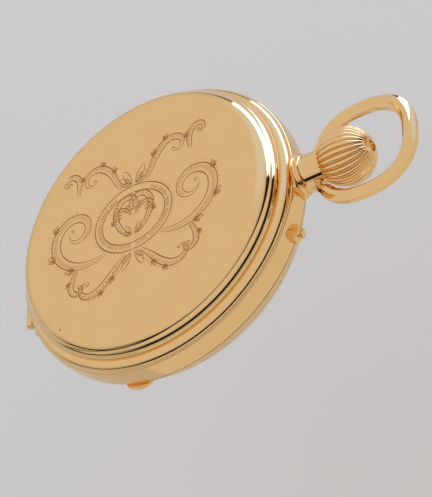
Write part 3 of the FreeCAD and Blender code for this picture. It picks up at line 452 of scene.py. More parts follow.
def guard():
    """Olivette: squat saddle with rounded shoulders, and a short tube round the push pin."""
    root, low_top, rise, half_angle, half_height, edge = 24.96, 25.5, 0.72, 2.9, 0.78, 0.24
    rings = []
    for index in range(25):
        share = index / 12 - 1
        turn = math.radians(half_angle * share)
        top = low_top + rise * math.sqrt(max(0.0, 1 - share * share))
        section = [(root, -half_height), (top - edge, -half_height)]
        section += arc((top - edge, -half_height), (top, edge - half_height), edge * QUARTER_RISE, 5)
        section += arc((top, half_height - edge), (top - edge, half_height), edge * QUARTER_RISE, 5)
        section.append((root, half_height))
        rings.append([(r * math.cos(turn), r * math.sin(turn), z + GUARD_Z) for r, z in section])
    saddle = skin(rings, loop_along=False, caps=True)
    bore, wall, shoulder, lip, end = 0.6, 0.86, 26.3, 26.34, 26.42
    profile = [(bore, root), (wall, root), (wall, shoulder)] + arc((wall, shoulder), (0.76, end), 0.03, 4)
    profile += [(0.68, end)] + arc((0.68, end), (bore, lip), 0.03, 3)
    tube = moved(along_x(turned(profile, 48)), (0, 0, GUARD_Z))
    return [turned_by(saddle, GUARD_ANGLE), turned_by(tube, GUARD_ANGLE)]


def push_button():
    radius, foot, shoulder, end = 0.56, 20.35, 26.48, 26.62
    profile = [(0.0, foot), (radius, foot), (radius, shoulder)]
    profile += arc((radius, shoulder), (0.4, end), 0.05, 5) + [(0.0, end)]
    pin = moved(along_x(turned(profile, 40)), (0, 0, GUARD_Z))
    return [turned_by(pin, GUARD_ANGLE)]


# ---------------------------------------- engraving

GROOVE_SLOPE = 0.75        # depth of a cut over its half width
CUT, FINE = 0.11, 0.062    # half widths of main and fine cuts
CUT_TAPER, CUT_THINNEST = 0.4, 0.15
SHADE_SPACING, BEAD_HALF = 0.3, 0.1
ORNAMENT_AT, ORNAMENT_SCALE, ORNAMENT_REACH = (-1.2, 0.0), 1.1, 19.0
SHALLOWEST, DEEPEST = 0.004, 0.12
SUPPORT_RINGS = (18.5, 15.5)           # extra points that keep the triangles of the flat small


def across(turn):
    return Vector((-math.sin(turn), math.cos(turn)))


def vine(start, heading_degrees, length, bends, count=80):
    """Trail of (point, heading) whose bend in degrees per mm goes from first to last."""
    first, last, power = bends
    point, turn = Vector(start), math.radians(heading_degrees)
    trail = [(point.copy(), turn)]
    step = length / count
    for index in range(count):
        share = (index + 0.5) / count
        turn += math.radians(first + (last - first) * share ** power) * step
        point = point + Vector((math.cos(turn), math.sin(turn))) * step
        trail.append((point.copy(), turn))
    return trail


def beside(trail, gap_at):
    """Trail shifted to its left by a gap that may change along it."""
    last = len(trail) - 1
    return [(point + across(turn) * gap_at(index / last), turn) for index, (point, turn) in enumerate(trail)]


def cut(trail, half):
    """Groove along a trail, narrow at both ends: a list of (point, heading, half width)."""
    last = len(trail) - 1
    return [(point, turn, half * max(CUT_THINNEST, math.sin(math.pi * index / last) ** CUT_TAPER))
            for index, (point, turn) in enumerate(trail)]


def straight(start, end, half, parts=4):
    a, b = Vector(start), Vector(end)
    turn = math.atan2(b.y - a.y, b.x - a.x)
    return cut([(a.lerp(b, index / parts), turn) for index in range(parts + 1)], half)


def leaf(root, heading_degrees, length, side):
    """Pointed lobe that bends to one side: a back, a belly and a short vein."""
    back = vine(root, heading_degrees, length, (side * 6, side * 60 / max(1.0, length * 0.55), 1.3), 14)
    tip = back[-1][0]
    chord = tip - Vector(root)
    bulge = across(math.atan2(chord.y, chord.x)) * (side * length * 0.3)
    belly = []
    for index in range(11):
        share = index / 10
        spot = Vector(root).lerp(tip, share) + bulge * (2.2 * share * (1 - share))
        slope = math.atan2(chord.y + bulge.y * (1 - 2 * share), chord.x + bulge.x * (1 - 2 * share))
        belly.append((spot, slope))
    vein = [(spot.lerp(outer, 0.5), turn) for (spot, turn), (outer, _) in zip(belly[2:8], back[3:9])]
    return [cut(back, FINE * 1.5), cut(belly, FINE * 1.4), cut(vein, FINE * 0.8)]


def hatching(outer, inner, length):
    """Fine strokes between two trails."""
    last = len(outer) - 1
    strokes = []
    for step in range(2, int(length * 0.86 / SHADE_SPACING)):
        spot = int(step * SHADE_SPACING / length * last)
        back, front = outer[spot][0], inner[spot][0]
        if (back - front).length > 0.3:
            strokes.append(straight(back.lerp(front, 0.12), back.lerp(front, 0.7), FINE * 0.9))
    return strokes


def bead_row(trail, gap, first, last):
    row = beside(trail, lambda share: gap)
    return [straight(spot - across(turn) * BEAD_HALF, spot + across(turn) * BEAD_HALF, FINE * 1.5, 2)
            for spot, turn in row[first:last:2]]


def frond(start, heading_degrees, length, bends, gap, lobes=(), beads=False):
    """Scroll: two outlines that close at both ends, shaded along its back, with leaves and an eye."""
    trail = vine(start, heading_degrees, length, bends)

    def half_gap(share):
        return gap / 2 * math.sin(math.pi * min(1.0, 0.04 + share)) ** 0.6

    side = -1 if bends[1] > 0 else 1
    outer = beside(trail, lambda share: side * half_gap(share))
    inner = beside(trail, lambda share: -side * half_gap(share))
    cuts = [cut(outer, CUT), cut(inner, CUT)]
    cuts += hatching(outer, inner, length)
    last = len(trail) - 1
    if beads:
        cuts += bead_row(trail, side * (gap / 2 + 0.38), 8, int(last * 0.68))
    for share, size in lobes:
        spot, turn = outer[int(share * last)]
        for lean, scale in ((58, 0.7), (34, 1.0), (12, 0.8)):
            cuts += leaf(spot, math.degrees(turn) + side * lean, size * scale, -side)
    point, turn = trail[-1]
    eye = vine(point, math.degrees(turn), 1.3, (-side * 170, -side * 300, 1.0), 16)
    return cuts + [cut(eye, FINE * 1.6)]


def wreath(wide, high, gap):
    """Right half of a shaded oval band with beads outside."""
    count, length = 70, 19.0
    trail = []
    for index in range(count + 1):
        turn = math.pi * (index / count - 0.5)
        spot = Vector((wide * math.cos(turn), high * math.sin(turn)))
        slope = math.atan2(high * math.cos(turn), -wide * math.sin(turn))
        trail.append((spot, slope))
    outer, inner = beside(trail, lambda share: -gap / 2), beside(trail, lambda share: gap / 2)
    cuts = [[(point, turn, CUT) for point, turn in line] for line in (outer, inner)]
    cuts += hatching(inner, outer, length)
    return cuts + bead_row(trail, -gap / 2 - 0.36, 5, count - 4)


def half_ornament():
    """Right half of the cartouche, round the origin."""
    cuts = wreath(5.9, 4.9, 1.2)
    cuts += frond((4.6, -4.3), -24, 26.5, (8.0, 44, 2.3), 1.5, ((0.2, 1.9), (0.36, 2.0), (0.52, 1.7)), True)
    cuts += frond((2.0, 5.5), 58, 12.5, (5.0, -66, 1.6), 1.1, ((0.3, 1.5), (0.5, 1.3)))
    cuts += frond((9.6, 7.6), 96, 7.6, (3.0, -100, 1.4), 0.9, ((0.3, 1.2),))
    cuts += frond((1.3, -5.9), -42, 12.0, (-3.0, 70, 2.2), 1.1, ((0.28, 1.5), (0.48, 1.3)), True)
    cuts += frond((9.4, -4.9), -64, 7.2, (4.0, -100, 1.5), 0.85, ((0.3, 1.2),))
    cuts += frond((0.35, -3.2), 38, 13.5, (6.0, 74, 2.0), 0.9, ((0.3, 1.1),))
    cuts += frond((0.3, 0.2), 76, 6.0, (-16.0, -120, 1.6), 0.55)
    for heading_degrees, size in ((84, 3.4), (58, 2.8), (34, 2.0)):
        cuts += leaf((0.25, 5.9), heading_degrees, size, -1)
    for heading_degrees, size in ((-82, 3.2), (-58, 2.2)):
        cuts += leaf((0.25, -6.0), heading_degrees, size, 1)
    for heading_degrees, size in ((80, 2.2), (50, 1.7)):
        cuts += leaf((0.2, -2.9), heading_degrees, size, -1)
    return cuts


def ornament():
    """Mirrored foliate cartouche as cuts in the plane of the cover."""
    centre = Vector(ORNAMENT_AT)
    cuts = []
    for stroke in half_ornament():
        for mirror in (1, -1):
            cuts.append([(centre + Vector((point.x * mirror, point.y)) * ORNAMENT_SCALE,
                          turn if mirror > 0 else math.pi - turn, half) for point, turn, half in stroke])
    return cuts


def engraved_disc(outer_r):
    """Flat of the cover with the ornament cut into it as V grooves."""
    points, edges, halves = [], [], []
    for stroke in ornament():
        first = len(points)
        for station, (point, turn, half) in enumerate(stroke):
            sideways = across(turn) * half
            at_end = station in (0, len(stroke) - 1)
            for spot in (point - sideways, point, point + sideways):
                points.append(spot)
                halves.append(0.0 if at_end else half)
        for index in range(len(stroke) - 1):
            for lane in range(3):
                here = first + index * 3 + lane
                edges.append((here, here + 3))
        for end in (first, len(points) - 3):
            edges += [(end, end + 1), (end + 1, end + 2)]
    centres = KDTree(len(points) // 3)
    for index in range(1, len(points), 3):
        centres.insert((*points[index], 0), index)
    centres.balance()
    border = len(points)
    for x, y in circle_points(outer_r, ROUND):
        points.append(Vector((x, y)))
    edges += [(border + index, border + (index + 1) % ROUND) for index in range(ROUND)]
    for radius in SUPPORT_RINGS:
        points += [Vector(spot) for spot in circle_points(radius, 72)]
    flat, _, faces, _, _, _ = delaunay_2d_cdt(points, edges, [], 0, 1e-5)
    solid = []
    for spot in flat:
        depth = 0.0
        for _, index, distance in centres.find_range((*spot, 0), CUT * 1.3):
            depth = max(depth, (halves[index] - distance) * GROOVE_SLOPE)
        solid.append((spot.x, spot.y, TOP_Z - (depth if depth > SHALLOWEST else 0.0)))
    return solid, [tuple(face) for face in faces]


def in_groove(face):
    """1 for the cut faces of the engraved flat, which take the darker gold that paints shade into the grooves, 0
    for all others.
    """
    depth = max(TOP_Z + MIDDLE - vert.co.z / MM for vert in face.verts)
    from_axis = face.calc_center_median().to_2d().length / MM
    return int(SHALLOWEST * 0.75 < depth < DEEPEST and from_axis < ORNAMENT_REACH)


def front_shell():
    """Front cover with its engraved flat, as one closed skin."""
    points, faces = turned(cover_profile([]), closed=False)
    flat_points, flat_faces = engraved_disc(DISC_R)
    shift = len(points)
    faces = faces + [tuple(index + shift for index in face) for face in flat_faces]
    return points + flat_points, faces


def back_shell():
    return upside_down(turned(cover_profile([(0.0, TOP_Z)])))


# ---------------------------------------- dial side

NUMERALS = {1: "I", 2: "II", 3: "III", 4: "IIII", 5: "V", 7: "VII", 8: "VIII", 9: "IX", 10: "X", 11: "XI",
            12: "XII"}     # the sunk seconds dial takes the place of the six
LETTERS = {     # (bars as start, end and thickness, width) in a box one unit high
    "I": ([((0.12, 0), (0.12, 1), 0.13)], 0.24),
    "V": ([((0.1, 1), (0.34, 0), 0.13), ((0.34, 0), (0.56, 1), 0.05)], 0.66),
    "X": ([((0.08, 1), (0.58, 0), 0.13), ((0.08, 0), (0.58, 1), 0.05)], 0.66),
}
NUMERAL_FOOT_R, NUMERAL_HEIGHT, SERIF = 13.6, 3.3, 0.045
INK_SUNK, INK_RAISED = 0.05, 0.015
DIAL_SEGMENTS = 180


def mark(start, end, half, top=DIAL_TOP):
    """Painted bar on the dial."""
    a, b = Vector(start), Vector(end)
    along = (b - a).normalized() * half
    side = Vector((-along.y, along.x))
    return prism([a - side, b - side, b + side, a + side], top - INK_SUNK, top + INK_RAISED)


def numeral(hour):
    """Roman numeral standing on the inner ring of the dial, with thin serif lines."""
    widths = [LETTERS[letter][1] for letter in NUMERALS[hour]]
    left = -sum(widths) / 2
    turn = Matrix.Rotation(math.radians(-30 * hour), 2)
    bars = [((left, height), (-left, height), SERIF) for height in (0, 1)]
    for letter, width in zip(NUMERALS[hour], widths):
        bars += [((left + x0, y0), (left + x1, y1), thick) for (x0, y0), (x1, y1), thick in LETTERS[letter][0]]
        left += width
    marks = []
    for start, end, thick in bars:
        ends = [turn @ Vector((x * NUMERAL_HEIGHT, NUMERAL_FOOT_R + y * NUMERAL_HEIGHT)) for x, y in (start, end)]
        marks.append(mark(*ends, thick * NUMERAL_HEIGHT / 2))
    return marks


def track(at, inner, outer, top, every, bold, line):
    """Two thin rings with sixty strokes between them."""
    low, high = top - INK_SUNK, top + INK_RAISED
    marks = [ring(radius - line, radius + line, low, high, at, DIAL_SEGMENTS) for radius in (inner, outer)]
    for minute in range(60):
        turn = math.radians(6 * minute)
        away = Vector((math.sin(turn), math.cos(turn)))
        half = bold if minute % every == 0 else line
        marks.append(mark(Vector(at) + away * inner, Vector(at) + away * outer, half, top))
    return marks


def pierced(radius, holes, low, high):
    """Disc with round holes, each given as (radius, centre)."""
    loops = [circle_points(radius, DIAL_SEGMENTS)] + [circle_points(size, 72, at) for size, at in holes]
    points, edges = [], []
    for loop in loops:
        first = len(points)
        points += [Vector(spot) for spot in loop]
        edges += [(first + index, first + (index + 1) % len(loop)) for index in range(len(loop))]
    triangles = delaunay_2d_cdt(points, edges, [], 0, 1e-6)[2]
    kept = []
    for corners in triangles:
        middle = sum((points[index] for index in corners), Vector((0, 0))) / 3
        if all((middle - Vector(at)).length > size * 0.999 for size, at in holes):
            kept.append(tuple(corners))
    count = len(points)
    solid = [(x, y, z) for z in (low, high) for x, y in points]
    faces = kept + [tuple(index + count for index in face) for face in kept]
    faces += [(a, b, b + count, a + count) for a, b in edges]
    return solid, faces


def dial():
    seconds_hole, centre_hole, sink = (0.45, SECONDS_AT), (1.25, (0, 0)), (SINK_R, SECONDS_AT)
    floor = DIAL_TOP - SINK
    solids = [pierced(DIAL_R, [centre_hole, seconds_hole], DIAL_LOW, floor),
              pierced(DIAL_R, [centre_hole, sink], floor - 0.01, DIAL_TOP)]
    for hour in NUMERALS:
        solids += numeral(hour)
    solids += track((0, 0), 17.9, 19.2, DIAL_TOP, 5, 0.14, 0.035)
    return solids + track(SECONDS_AT, 3.1, 3.75, floor, 10, 0.07, 0.02)


def printed(face):
    """1 for the painted faces of the dial, 0 for the enamel."""
    height = face.calc_center_median().z / MM - MIDDLE
    on_face = height > DIAL_TOP + INK_RAISED / 2
    in_sink = abs(height - (DIAL_TOP - SINK + INK_RAISED)) < INK_RAISED / 2
    return int(on_face or in_sink)


def hand(angle, length, tail, hub_r, bore_r, low, high, width, at):
    """Slim pointer with a crowned face that swells two thirds of the way out."""
    crowning, chamfer, point_width = 0.05, 0.12, 0.05
    stations = [(-tail, width * 0.5), (-tail * 0.3, width * 0.34), (length * 0.4, width * 0.3),
                (length * 0.56, width * 0.6), (length * 0.66, width), (length * 0.76, width * 0.6),
                (length, point_width)]
    rings = []
    for reach, half in stations:
        side = high - crowning
        section = [(-half, low), (half, low), (half, side), (0.0, high), (-half, side)]
        rings.append([(reach, y, z) for y, z in section])
    pointer = turned_by(skin(rings, loop_along=False, caps=True), angle)
    rim, top = high - 0.02, high + 0.04
    hub = turned([(bore_r, low), (hub_r, low), (hub_r, rim), (hub_r - chamfer, top), (bore_r, top)], 64)
    return [moved(pointer, (*at, 0)), moved(hub, (*at, 0))]


def bezel():
    profile = [(21.35, BAND_HALF), (22.2, BAND_HALF), (22.2, 2.9)]
    profile += arc((22.2, 2.9), (20.9, 4.5), 0.3, 14) + arc((20.9, 4.5), (20.5, 4.3), 0.04, 4)
    profile += [(20.5, 4.1), (20.9, 4.1), (20.9, 3.5), (20.3, 3.5), (20.3, 2.85), (21.35, 2.85)]
    return turned(profile)


def crystal():
    """Domed glass: rim in the bezel's groove, both faces meeting the axis level."""
    rim, crest, seat, hollow = (20.45, 4.1), (0.0, 5.1), (20.0, 3.55), (0.0, 4.3)
    profile = [seat, (20.85, 3.55), (20.85, 4.05), (20.45, 4.05), rim]
    profile += arc(rim, crest, dome_rise(rim, crest), 30) + [hollow]
    profile += arc(hollow, seat, -dome_rise(seat, hollow), 30)[:-1]
    return turned(profile, DIAL_SEGMENTS)


def dome_rise(rim, crest):
    """Rise of the arc from a rim to the axis that arrives level at the axis."""
    half_angle = math.atan2(crest[1] - rim[1], rim[0])
    return math.hypot(rim[0], crest[1] - rim[1]) / 2 * math.tan(half_angle / 2)


# ---------------------------------------- materials

WAVE_DEPTH, HAIR_DEPTH = 0.00003, 0.000003     # metres
PIT_TONE, STRIPE_TONE = (0.12, 0.05, 0.015), (0.38, 0.37, 0.36)


def node(tree, kind, links=(), **properties):
    """Adds a shader node, sets its properties and joins outputs to its inputs."""
    made = tree.nodes.new(kind)
    for key, value in properties.items():
        setattr(made, key, value)
    for socket, source in links:
        tree.links.new(source, made.inputs[socket])
    return made


def new_material(name):
    material = bpy.data.materials.new(name)
    material.use_nodes = True
    tree = material.node_tree
    shader = tree.nodes.get("Principled BSDF")
    coords = tree.nodes.new("ShaderNodeTexCoord").outputs["Object"]
    return material, tree, shader, coords


def stretched(tree, coords, spin, scale):
    mapping = node(tree, "ShaderNodeMapping", [("Vector", coords)])
    mapping.inputs["Rotation"].default_value = tuple(math.radians(angle) for angle in spin)
    mapping.inputs["Scale"].default_value = scale
    return mapping.outputs[0]


def noise(tree, vector, scale, detail):
    made = node(tree, "ShaderNodeTexNoise", [("Vector", vector)])
    made.inputs["Scale"].default_value = scale
    made.inputs["Detail"].default_value = detail
    return made.outputs[0]


def remap(tree, source, low, high, to_low, to_high):
    made = node(tree, "ShaderNodeMapRange", [("Value", source)])
    for socket, value in (("From Min", low), ("From Max", high), ("To Min", to_low), ("To Max", to_high)):
        made.inputs[socket].default_value = value
    return made.outputs[0]


def bump(tree, height, distance, strength, before=None):
    made = node(tree, "ShaderNodeBump", [("Height", height)])
    made.inputs["Distance"].default_value = distance
    made.inputs["Strength"].default_value = strength
    if before:
        tree.links.new(before, made.inputs["Normal"])
    return made.outputs[0]


def mixed(tree, factor, first, second):
    made = tree.nodes.new("ShaderNodeMix")
    made.data_type = "RGBA"
    tree.links.new(factor, made.inputs["Factor"])
    for socket, value in ((6, first), (7, second)):
        if isinstance(value, bpy.types.NodeSocket):
            tree.links.new(value, made.inputs[socket])
        else:
            made.inputs[socket].default_value = (*value, 1.0)
    return made.outputs[2]


def striped(tree, coords, tone, factor):
    """Darker wide diagonal bands, as ground into the bridges of a movement."""
    diagonal = stretched(tree, coords, (0, 0, 35), (1, 1, 1))
    bands = node(tree, "ShaderNodeTexWave", [("Vector", diagonal)], wave_profile="SAW")
    bands.inputs["Scale"].default_value = 170.0
    shade = remap(tree, bands.outputs["Fac"], 0.0, 1.0, 0.0, factor)
    return mixed(tree, shade, tone, STRIPE_TONE)


def pitted(tree, coords, tone, strength):
    """Rare small dark pits."""
    cells = node(tree, "ShaderNodeTexVoronoi", [("Vector", coords)])
    cells.inputs["Scale"].default_value = 230.0
    spot = remap(tree, cells.outputs["Distance"], 0.03, 0.06, 1.0, 0.0)
    rare = remap(tree, noise(tree, coords, 95.0, 1.0), 0.6, 0.64, 0.0, strength)
    chosen = node(tree, "ShaderNodeMath", [(0, spot), (1, rare)], operation="MULTIPLY")
    return mixed(tree, chosen.outputs[0], tone, PIT_TONE)


def metal(name, colour, worn, rough, wave, scratch, pits=0.0, stripes=0.0):
    """Worn polished metal: uneven gloss, hair scratches in two directions, gentle waves, small pits."""
    material, tree, shader, coords = new_material(name)
    shader.inputs["Metallic"].default_value = 1.0
    cloud = noise(tree, coords, 240.0, 4.0)
    hair_a = noise(tree, stretched(tree, coords, (20, 10, 33), (9000, 260, 9000)), 1.0, 2.0)
    hair_b = noise(tree, stretched(tree, coords, (-15, 25, -52), (7000, 200, 7000)), 1.0, 2.0)
    tree.links.new(remap(tree, cloud, 0.35, 0.7, *rough), shader.inputs["Roughness"])
    tone = mixed(tree, remap(tree, cloud, 0.45, 0.8, 0.0, 1.0), colour, worn)
    if pits:
        tone = pitted(tree, coords, tone, pits)
    if stripes:
        tone = striped(tree, coords, tone, stripes)
    tree.links.new(tone, shader.inputs["Base Color"])
    normal = bump(tree, noise(tree, coords, 55.0, 1.0), WAVE_DEPTH, wave)
    normal = bump(tree, hair_a, HAIR_DEPTH, scratch, normal)
    normal = bump(tree, hair_b, HAIR_DEPTH, scratch, normal)
    tree.links.new(normal, shader.inputs["Normal"])
    return material


def plain(name, colour, shade, rough, transmission=0.0, coat=0.0):
    """Non-metal with a faint unevenness of colour and gloss."""
    material, tree, shader, coords = new_material(name)
    shader.inputs["Transmission Weight"].default_value = transmission
    shader.inputs["Coat Weight"].default_value = coat
    cloud = noise(tree, coords, 500.0, 3.0)
    tree.links.new(remap(tree, cloud, 0.3, 0.7, *rough), shader.inputs["Roughness"])
    tone = mixed(tree, remap(tree, cloud, 0.4, 0.75, 0.0, 1.0), colour, shade)
    tree.links.new(tone, shader.inputs["Base Color"])
    tree.links.new(bump(tree, cloud, 0.000002, 0.2), shader.inputs["Normal"])
    return material


GOLD = (0.89, 0.6, 0.29)
GOLD_WORN = (0.88, 0.61, 0.31)
MATERIALS = {
    "gold": metal("polished_gold", GOLD, GOLD_WORN, (0.04, 0.11), 0.5, 0.5, 0.7),
    # darker brown gold for the cut faces of the engraving: painted shade in the grooves
    "groove": metal("groove_gold_painted_shade", (0.5, 0.26, 0.09), (0.38, 0.18, 0.055), (0.35, 0.5), 0.2, 0.2),
    "gold_inner": metal("plain_gold", (0.88, 0.62, 0.32), (0.84, 0.57, 0.28), (0.12, 0.24), 0.3, 0.4),
    "gilt_brass": metal("gilt_brass", (0.84, 0.62, 0.32), (0.76, 0.53, 0.25), (0.25, 0.38), 0.1, 0.5),
    "nickel": metal("damaskeen_nickel", (0.72, 0.71, 0.68), (0.62, 0.61, 0.58), (0.2, 0.34), 0.1, 0.6,
                    stripes=0.6),
    "steel": metal("polished_steel", (0.6, 0.61, 0.63), (0.5, 0.5, 0.52), (0.15, 0.28), 0.1, 0.5),
    "blued_steel": metal("blued_steel", (0.03, 0.06, 0.3), (0.05, 0.05, 0.2), (0.14, 0.24), 0.1, 0.3),
    "copper": metal("copper", (0.75, 0.38, 0.24), (0.6, 0.3, 0.18), (0.25, 0.4), 0.1, 0.4),
    "ruby": plain("ruby", (0.6, 0.02, 0.06), (0.45, 0.01, 0.05), (0.03, 0.08), coat=0.5),
    "crystal_glass": plain("crystal_glass", (1.0, 1.0, 1.0), (0.97, 0.98, 0.98), (0.01, 0.03), transmission=1.0),
    "enamel": plain("white_enamel", (0.86, 0.85, 0.81), (0.82, 0.8, 0.75), (0.08, 0.14), coat=0.6),
    "ink": plain("black_enamel", (0.012, 0.012, 0.014), (0.02, 0.02, 0.02), (0.2, 0.3)),
}


# ---------------------------------------- assembly

def exterior():
    gold, groove = MATERIALS["gold"], MATERIALS["groove"]
    # the faces that in_groove picks get the darker gold, painted shade in the cuts
    build("front_cover_shell", [front_shell()] + lid_joint(), "front_cover", [gold, groove],
          ["front_cover"], in_groove)
    rear = [back_shell(), thumb_lip()] + [upside_down(solid) for solid in lid_joint()]
    for name, solids, body, replaced in (
            ("back_cover_shell", rear, "back_cover", "back_cover"),
            ("case_band", [band()] + case_joint(), "case", "case_middle"),
            ("pendant_neck", neck(), "case", "pendant"),
            ("fluted_crown", [fluted_crown()], "crown", "crown"),
            ("bow_ring", bow_ring(), "bow", "bow"),
            ("push_olivette", guard(), "case", "push_guard"),
            ("push_button", push_button(), "push_pin", "push_pin")):
        build(name, solids, body, [gold], [replaced])


POINTERS = (   # name, body, node, then angle, length, tail, hub, bore, lower and upper face, half width, centre
    ("hour_pointer", "hour_wheel", "hour_hand", (145.0, 10.6, 1.6, 1.45, 1.0, 2.98, 3.12, 0.85, (0.0, 0.0))),
    ("minute_pointer", "centre_wheel", "minute_hand", (30.0, 16.4, 2.4, 1.05, 0.55, 3.4, 3.54, 0.62, (0.0, 0.0))),
    ("seconds_pointer", "fourth_wheel", "seconds_hand", (90.0, 3.6, 1.3, 0.42, 0.16, 2.8, 2.9, 0.14, SECONDS_AT)),
)


def dial_side():
    enamel, ink, blued = MATERIALS["enamel"], MATERIALS["ink"], MATERIALS["blued_steel"]
    build("dial_face", dial(), "case", [enamel, ink], ["dial"], printed)
    for name, body, replaced, shape in POINTERS:
        build(name, hand(*shape), body, [blued], [replaced])
    build("glass_ring", [bezel()], "case", [MATERIALS["gold_inner"]], ["bezel"])
    build("domed_glass", [crystal()], "case", [MATERIALS["crystal_glass"]], ["crystal"])


def paint_frame():
    """Gives every node of the frame the material of its slot."""
    slots = {row["node"]: row["material_slot"] for row in frame["record"]["subparts"]}
    for name, thing in frame["nodes"].items():
        thing.data.materials.clear()
        thing.data.materials.append(MATERIALS[slots[name]])


# ---------------------------------------- stage

CAMERA_FROM_X, CAMERA_ELEVATION, CAMERA_ROLL = -53.0, 41.67, -49.18   # degrees
CAMERA_AIM = (5.929, -1.849, 0.432 - 6.1)
CAMERA_DISTANCE = 400.0
PIXELS_PER_MM, LONG_SIDE, SENSOR = 6.541, 497, 36.0    # scale and longer side of the picture, sensor in mm
FLOOR_Z, FLOOR_HALF = -66.0, 4.0                       # mm, metres
FLOOR_TONE, FLOOR_ROUGH = (0.795, 0.785, 0.775), 0.8
CARD_FROM_X, CARD_SPREAD, CARD_REACH, CARD_GLOW = -45.0, 80.0, (45.0, 260.0), (0.73, 0.68, 0.6)
KEY_FROM, KEY_DISTANCE, KEY_SIZE = (60.0, 9.0), 0.9, (1.0, 0.34)
KEY_POWER, KEY_COLOUR = 2.6, (0.75, 0.93, 1.5)
DARK_SIDE, DARK_EDGE, THIN_EDGE = -40.0, (-0.4, 0.2), (-0.85, -0.7)
COOL_FROM, COOL_EDGE, COOL_WHITE = (68.0, 34.0), (0.84, 0.95), (1.0, 1.14, 1.42)
BACKDROP, TENT_STRENGTH = (0.78, 0.77, 0.76), 0.76
TENT_TOP = (1.0, 0.95, 0.88)           # the tents are (height, colour) from the horizon up
TENT_PLAIN = [(0.0, (0.8, 0.76, 0.7)), (0.5, TENT_TOP), (1.0, TENT_TOP)]
TENT_THIN = [(0.0, (0.05, 0.035, 0.025)), (0.09, (0.07, 0.05, 0.035)), (0.16, (0.85, 0.8, 0.73)),
             (0.5, TENT_TOP), (1.0, TENT_TOP)]
TENT_DARK = [(0.0, (0.02, 0.015, 0.01)), (0.28, (0.03, 0.022, 0.015)), (0.39, (0.9, 0.85, 0.78)),
             (0.6, TENT_TOP), (1.0, TENT_TOP)]


def place(point):
    x, y, z = point
    return Vector((x * MM, y * MM, (z + MIDDLE) * MM))


def heading(from_x, elevation):
    turn, lift = math.radians(from_x), math.radians(elevation)
    return Vector((math.cos(turn) * math.cos(lift), math.sin(turn) * math.cos(lift), math.sin(lift)))


def add_camera():
    camera = bpy.data.objects.new("camera", bpy.data.cameras.new("camera"))
    bpy.context.scene.collection.objects.link(camera)
    back = heading(CAMERA_FROM_X, CAMERA_ELEVATION)
    level_right = Vector((0, 0, 1)).cross(back).normalized()
    level_up = back.cross(level_right)
    facing = Matrix((level_right, level_up, back)).transposed()
    facing = facing @ Matrix.Rotation(math.radians(CAMERA_ROLL), 3, "Z")
    camera.matrix_world = Matrix.Translation(place(CAMERA_AIM) + back * CAMERA_DISTANCE * MM) @ facing.to_4x4()
    camera.data.lens = PIXELS_PER_MM * CAMERA_DISTANCE / LONG_SIDE * SENSOR
    camera.data.sensor_width = SENSOR
    camera.data.clip_start, camera.data.clip_end = 0.01, 20.0
    bpy.context.scene.camera = camera


def add_low_key():
    """Cool soft light from low on the far side."""
    light = bpy.data.lights.new("low_key", "AREA")
    light.shape, light.size, light.size_y = "RECTANGLE", *KEY_SIZE
    light.energy, light.color = KEY_POWER, KEY_COLOUR
    lamp = bpy.data.objects.new("low_key", light)
    direction = heading(*KEY_FROM)
    lamp.location = direction.normalized() * KEY_DISTANCE
    lamp.rotation_mode = "QUATERNION"
    lamp.rotation_quaternion = direction.to_track_quat("Z", "Y")
    bpy.context.scene.collection.objects.link(lamp)


def stage_sheet(name, material_name, corners, faces):
    """Flat mesh with a material of its own: the object and its shader."""
    mesh = bpy.data.meshes.new(name)
    mesh.from_pydata(corners, [], faces)
    sheet = bpy.data.objects.new(name, mesh)
    material = bpy.data.materials.new(material_name)
    material.use_nodes = True
    mesh.materials.append(material)
    bpy.context.scene.collection.objects.link(sheet)
    return sheet, material.node_tree.nodes["Principled BSDF"]


def add_card():
    """Warm glowing sheet on the floor in front of the band, seen only in reflections."""
    level = (FLOOR_Z + MIDDLE + 1.0) * MM
    turns = [math.radians(CARD_FROM_X + CARD_SPREAD * share) for share in (-1, -0.5, 0, 0.5, 1)]
    inner, outer = [[(reach * MM * math.cos(turn), reach * MM * math.sin(turn), level) for turn in turns]
                    for reach in CARD_REACH]
    faces = [(index, index + 5, index + 6, index + 1) for index in range(4)]
    card, shader = stage_sheet("warm_card", "warm_card", inner + outer, faces)
    card.visible_camera = card.visible_shadow = card.visible_diffuse = False
    shader.inputs["Base Color"].default_value = (0.0, 0.0, 0.0, 1.0)
    shader.inputs["Specular IOR Level"].default_value = 0.0
    shader.inputs["Emission Color"].default_value = (*CARD_GLOW, 1.0)
    shader.inputs["Emission Strength"].default_value = 1.0


def add_floor():
    half, level = FLOOR_HALF, (FLOOR_Z + MIDDLE) * MM
    corners = [(-half, -half, level), (half, -half, level), (half, half, level), (-half, half, level)]
    floor, shader = stage_sheet("studio_floor", "pale_floor", corners, [(0, 1, 2, 3)])
    shader.inputs["Base Color"].default_value = (*FLOOR_TONE, 1.0)
    shader.inputs["Roughness"].default_value = FLOOR_ROUGH


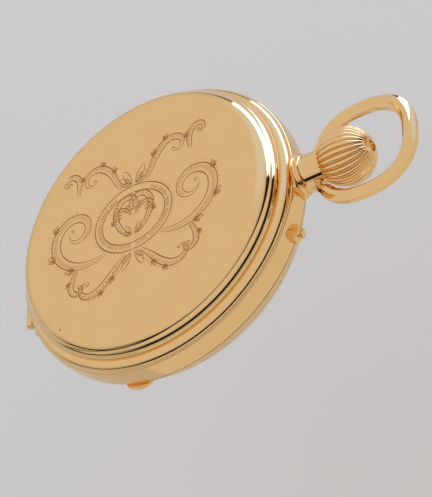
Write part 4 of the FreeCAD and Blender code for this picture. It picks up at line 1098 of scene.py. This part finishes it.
def tent_ramp(tree, height, stops):
    ramp = tree.nodes.new("ShaderNodeValToRGB")
    tree.links.new(height, ramp.inputs[0])
    ramp.color_ramp.interpolation = "EASE"
    ends = ramp.color_ramp.elements
    for end, (position, colour) in zip(ends, (stops[0], stops[-1])):
        end.position, end.color = position, (*colour, 1)
    for position, colour in stops[1:-1]:
        ends.new(position).color = (*colour, 1)
    return ramp.outputs[0]


def towards(tree, direction, aim):
    """Cosine of the angle between a direction in the tent and the aim."""
    facing = node(tree, "ShaderNodeVectorMath", [(0, direction)], operation="DOT_PRODUCT")
    facing.inputs[1].default_value = aim
    return facing.outputs["Value"]


def add_world():
    """Light tent in front of a plain backdrop.

    It is bright overhead.  From the horizon up it is dark on the camera's side, has a thin dark line
    on most of the rest and none on the far side, which gives the rims their dark lines.  A cool window
    shines from behind.  The camera sees only the backdrop.
    """
    world = bpy.data.worlds.new("studio")
    world.use_nodes = True
    tree = world.node_tree
    direction = tree.nodes.new("ShaderNodeTexCoord").outputs["Generated"]
    height = node(tree, "ShaderNodeSeparateXYZ", [(0, direction)]).outputs["Z"]
    dark_side = towards(tree, direction, heading(DARK_SIDE, 0))
    side = remap(tree, dark_side, *DARK_EDGE, 0.0, 1.0)
    thin = remap(tree, dark_side, *THIN_EDGE, 0.0, 1.0)
    window = remap(tree, towards(tree, direction, heading(*COOL_FROM)), *COOL_EDGE, 0.0, 1.0)
    sky = mixed(tree, thin, tent_ramp(tree, height, TENT_PLAIN), tent_ramp(tree, height, TENT_THIN))
    sky = mixed(tree, side, sky, tent_ramp(tree, height, TENT_DARK))
    sky = mixed(tree, window, sky, COOL_WHITE)
    seen = tree.nodes.new("ShaderNodeLightPath").outputs["Is Camera Ray"]
    sky = mixed(tree, seen, sky, BACKDROP)
    background = tree.nodes["Background"]
    tree.links.new(sky, background.inputs["Color"])
    background.inputs["Strength"].default_value = TENT_STRENGTH
    bpy.context.scene.world = world
    bpy.context.scene.view_settings.view_transform = "Standard"


def add_stage():
    add_world()
    add_floor()
    add_low_key()
    add_card()


exterior()
dial_side()
paint_frame()
add_stage()
add_camera()
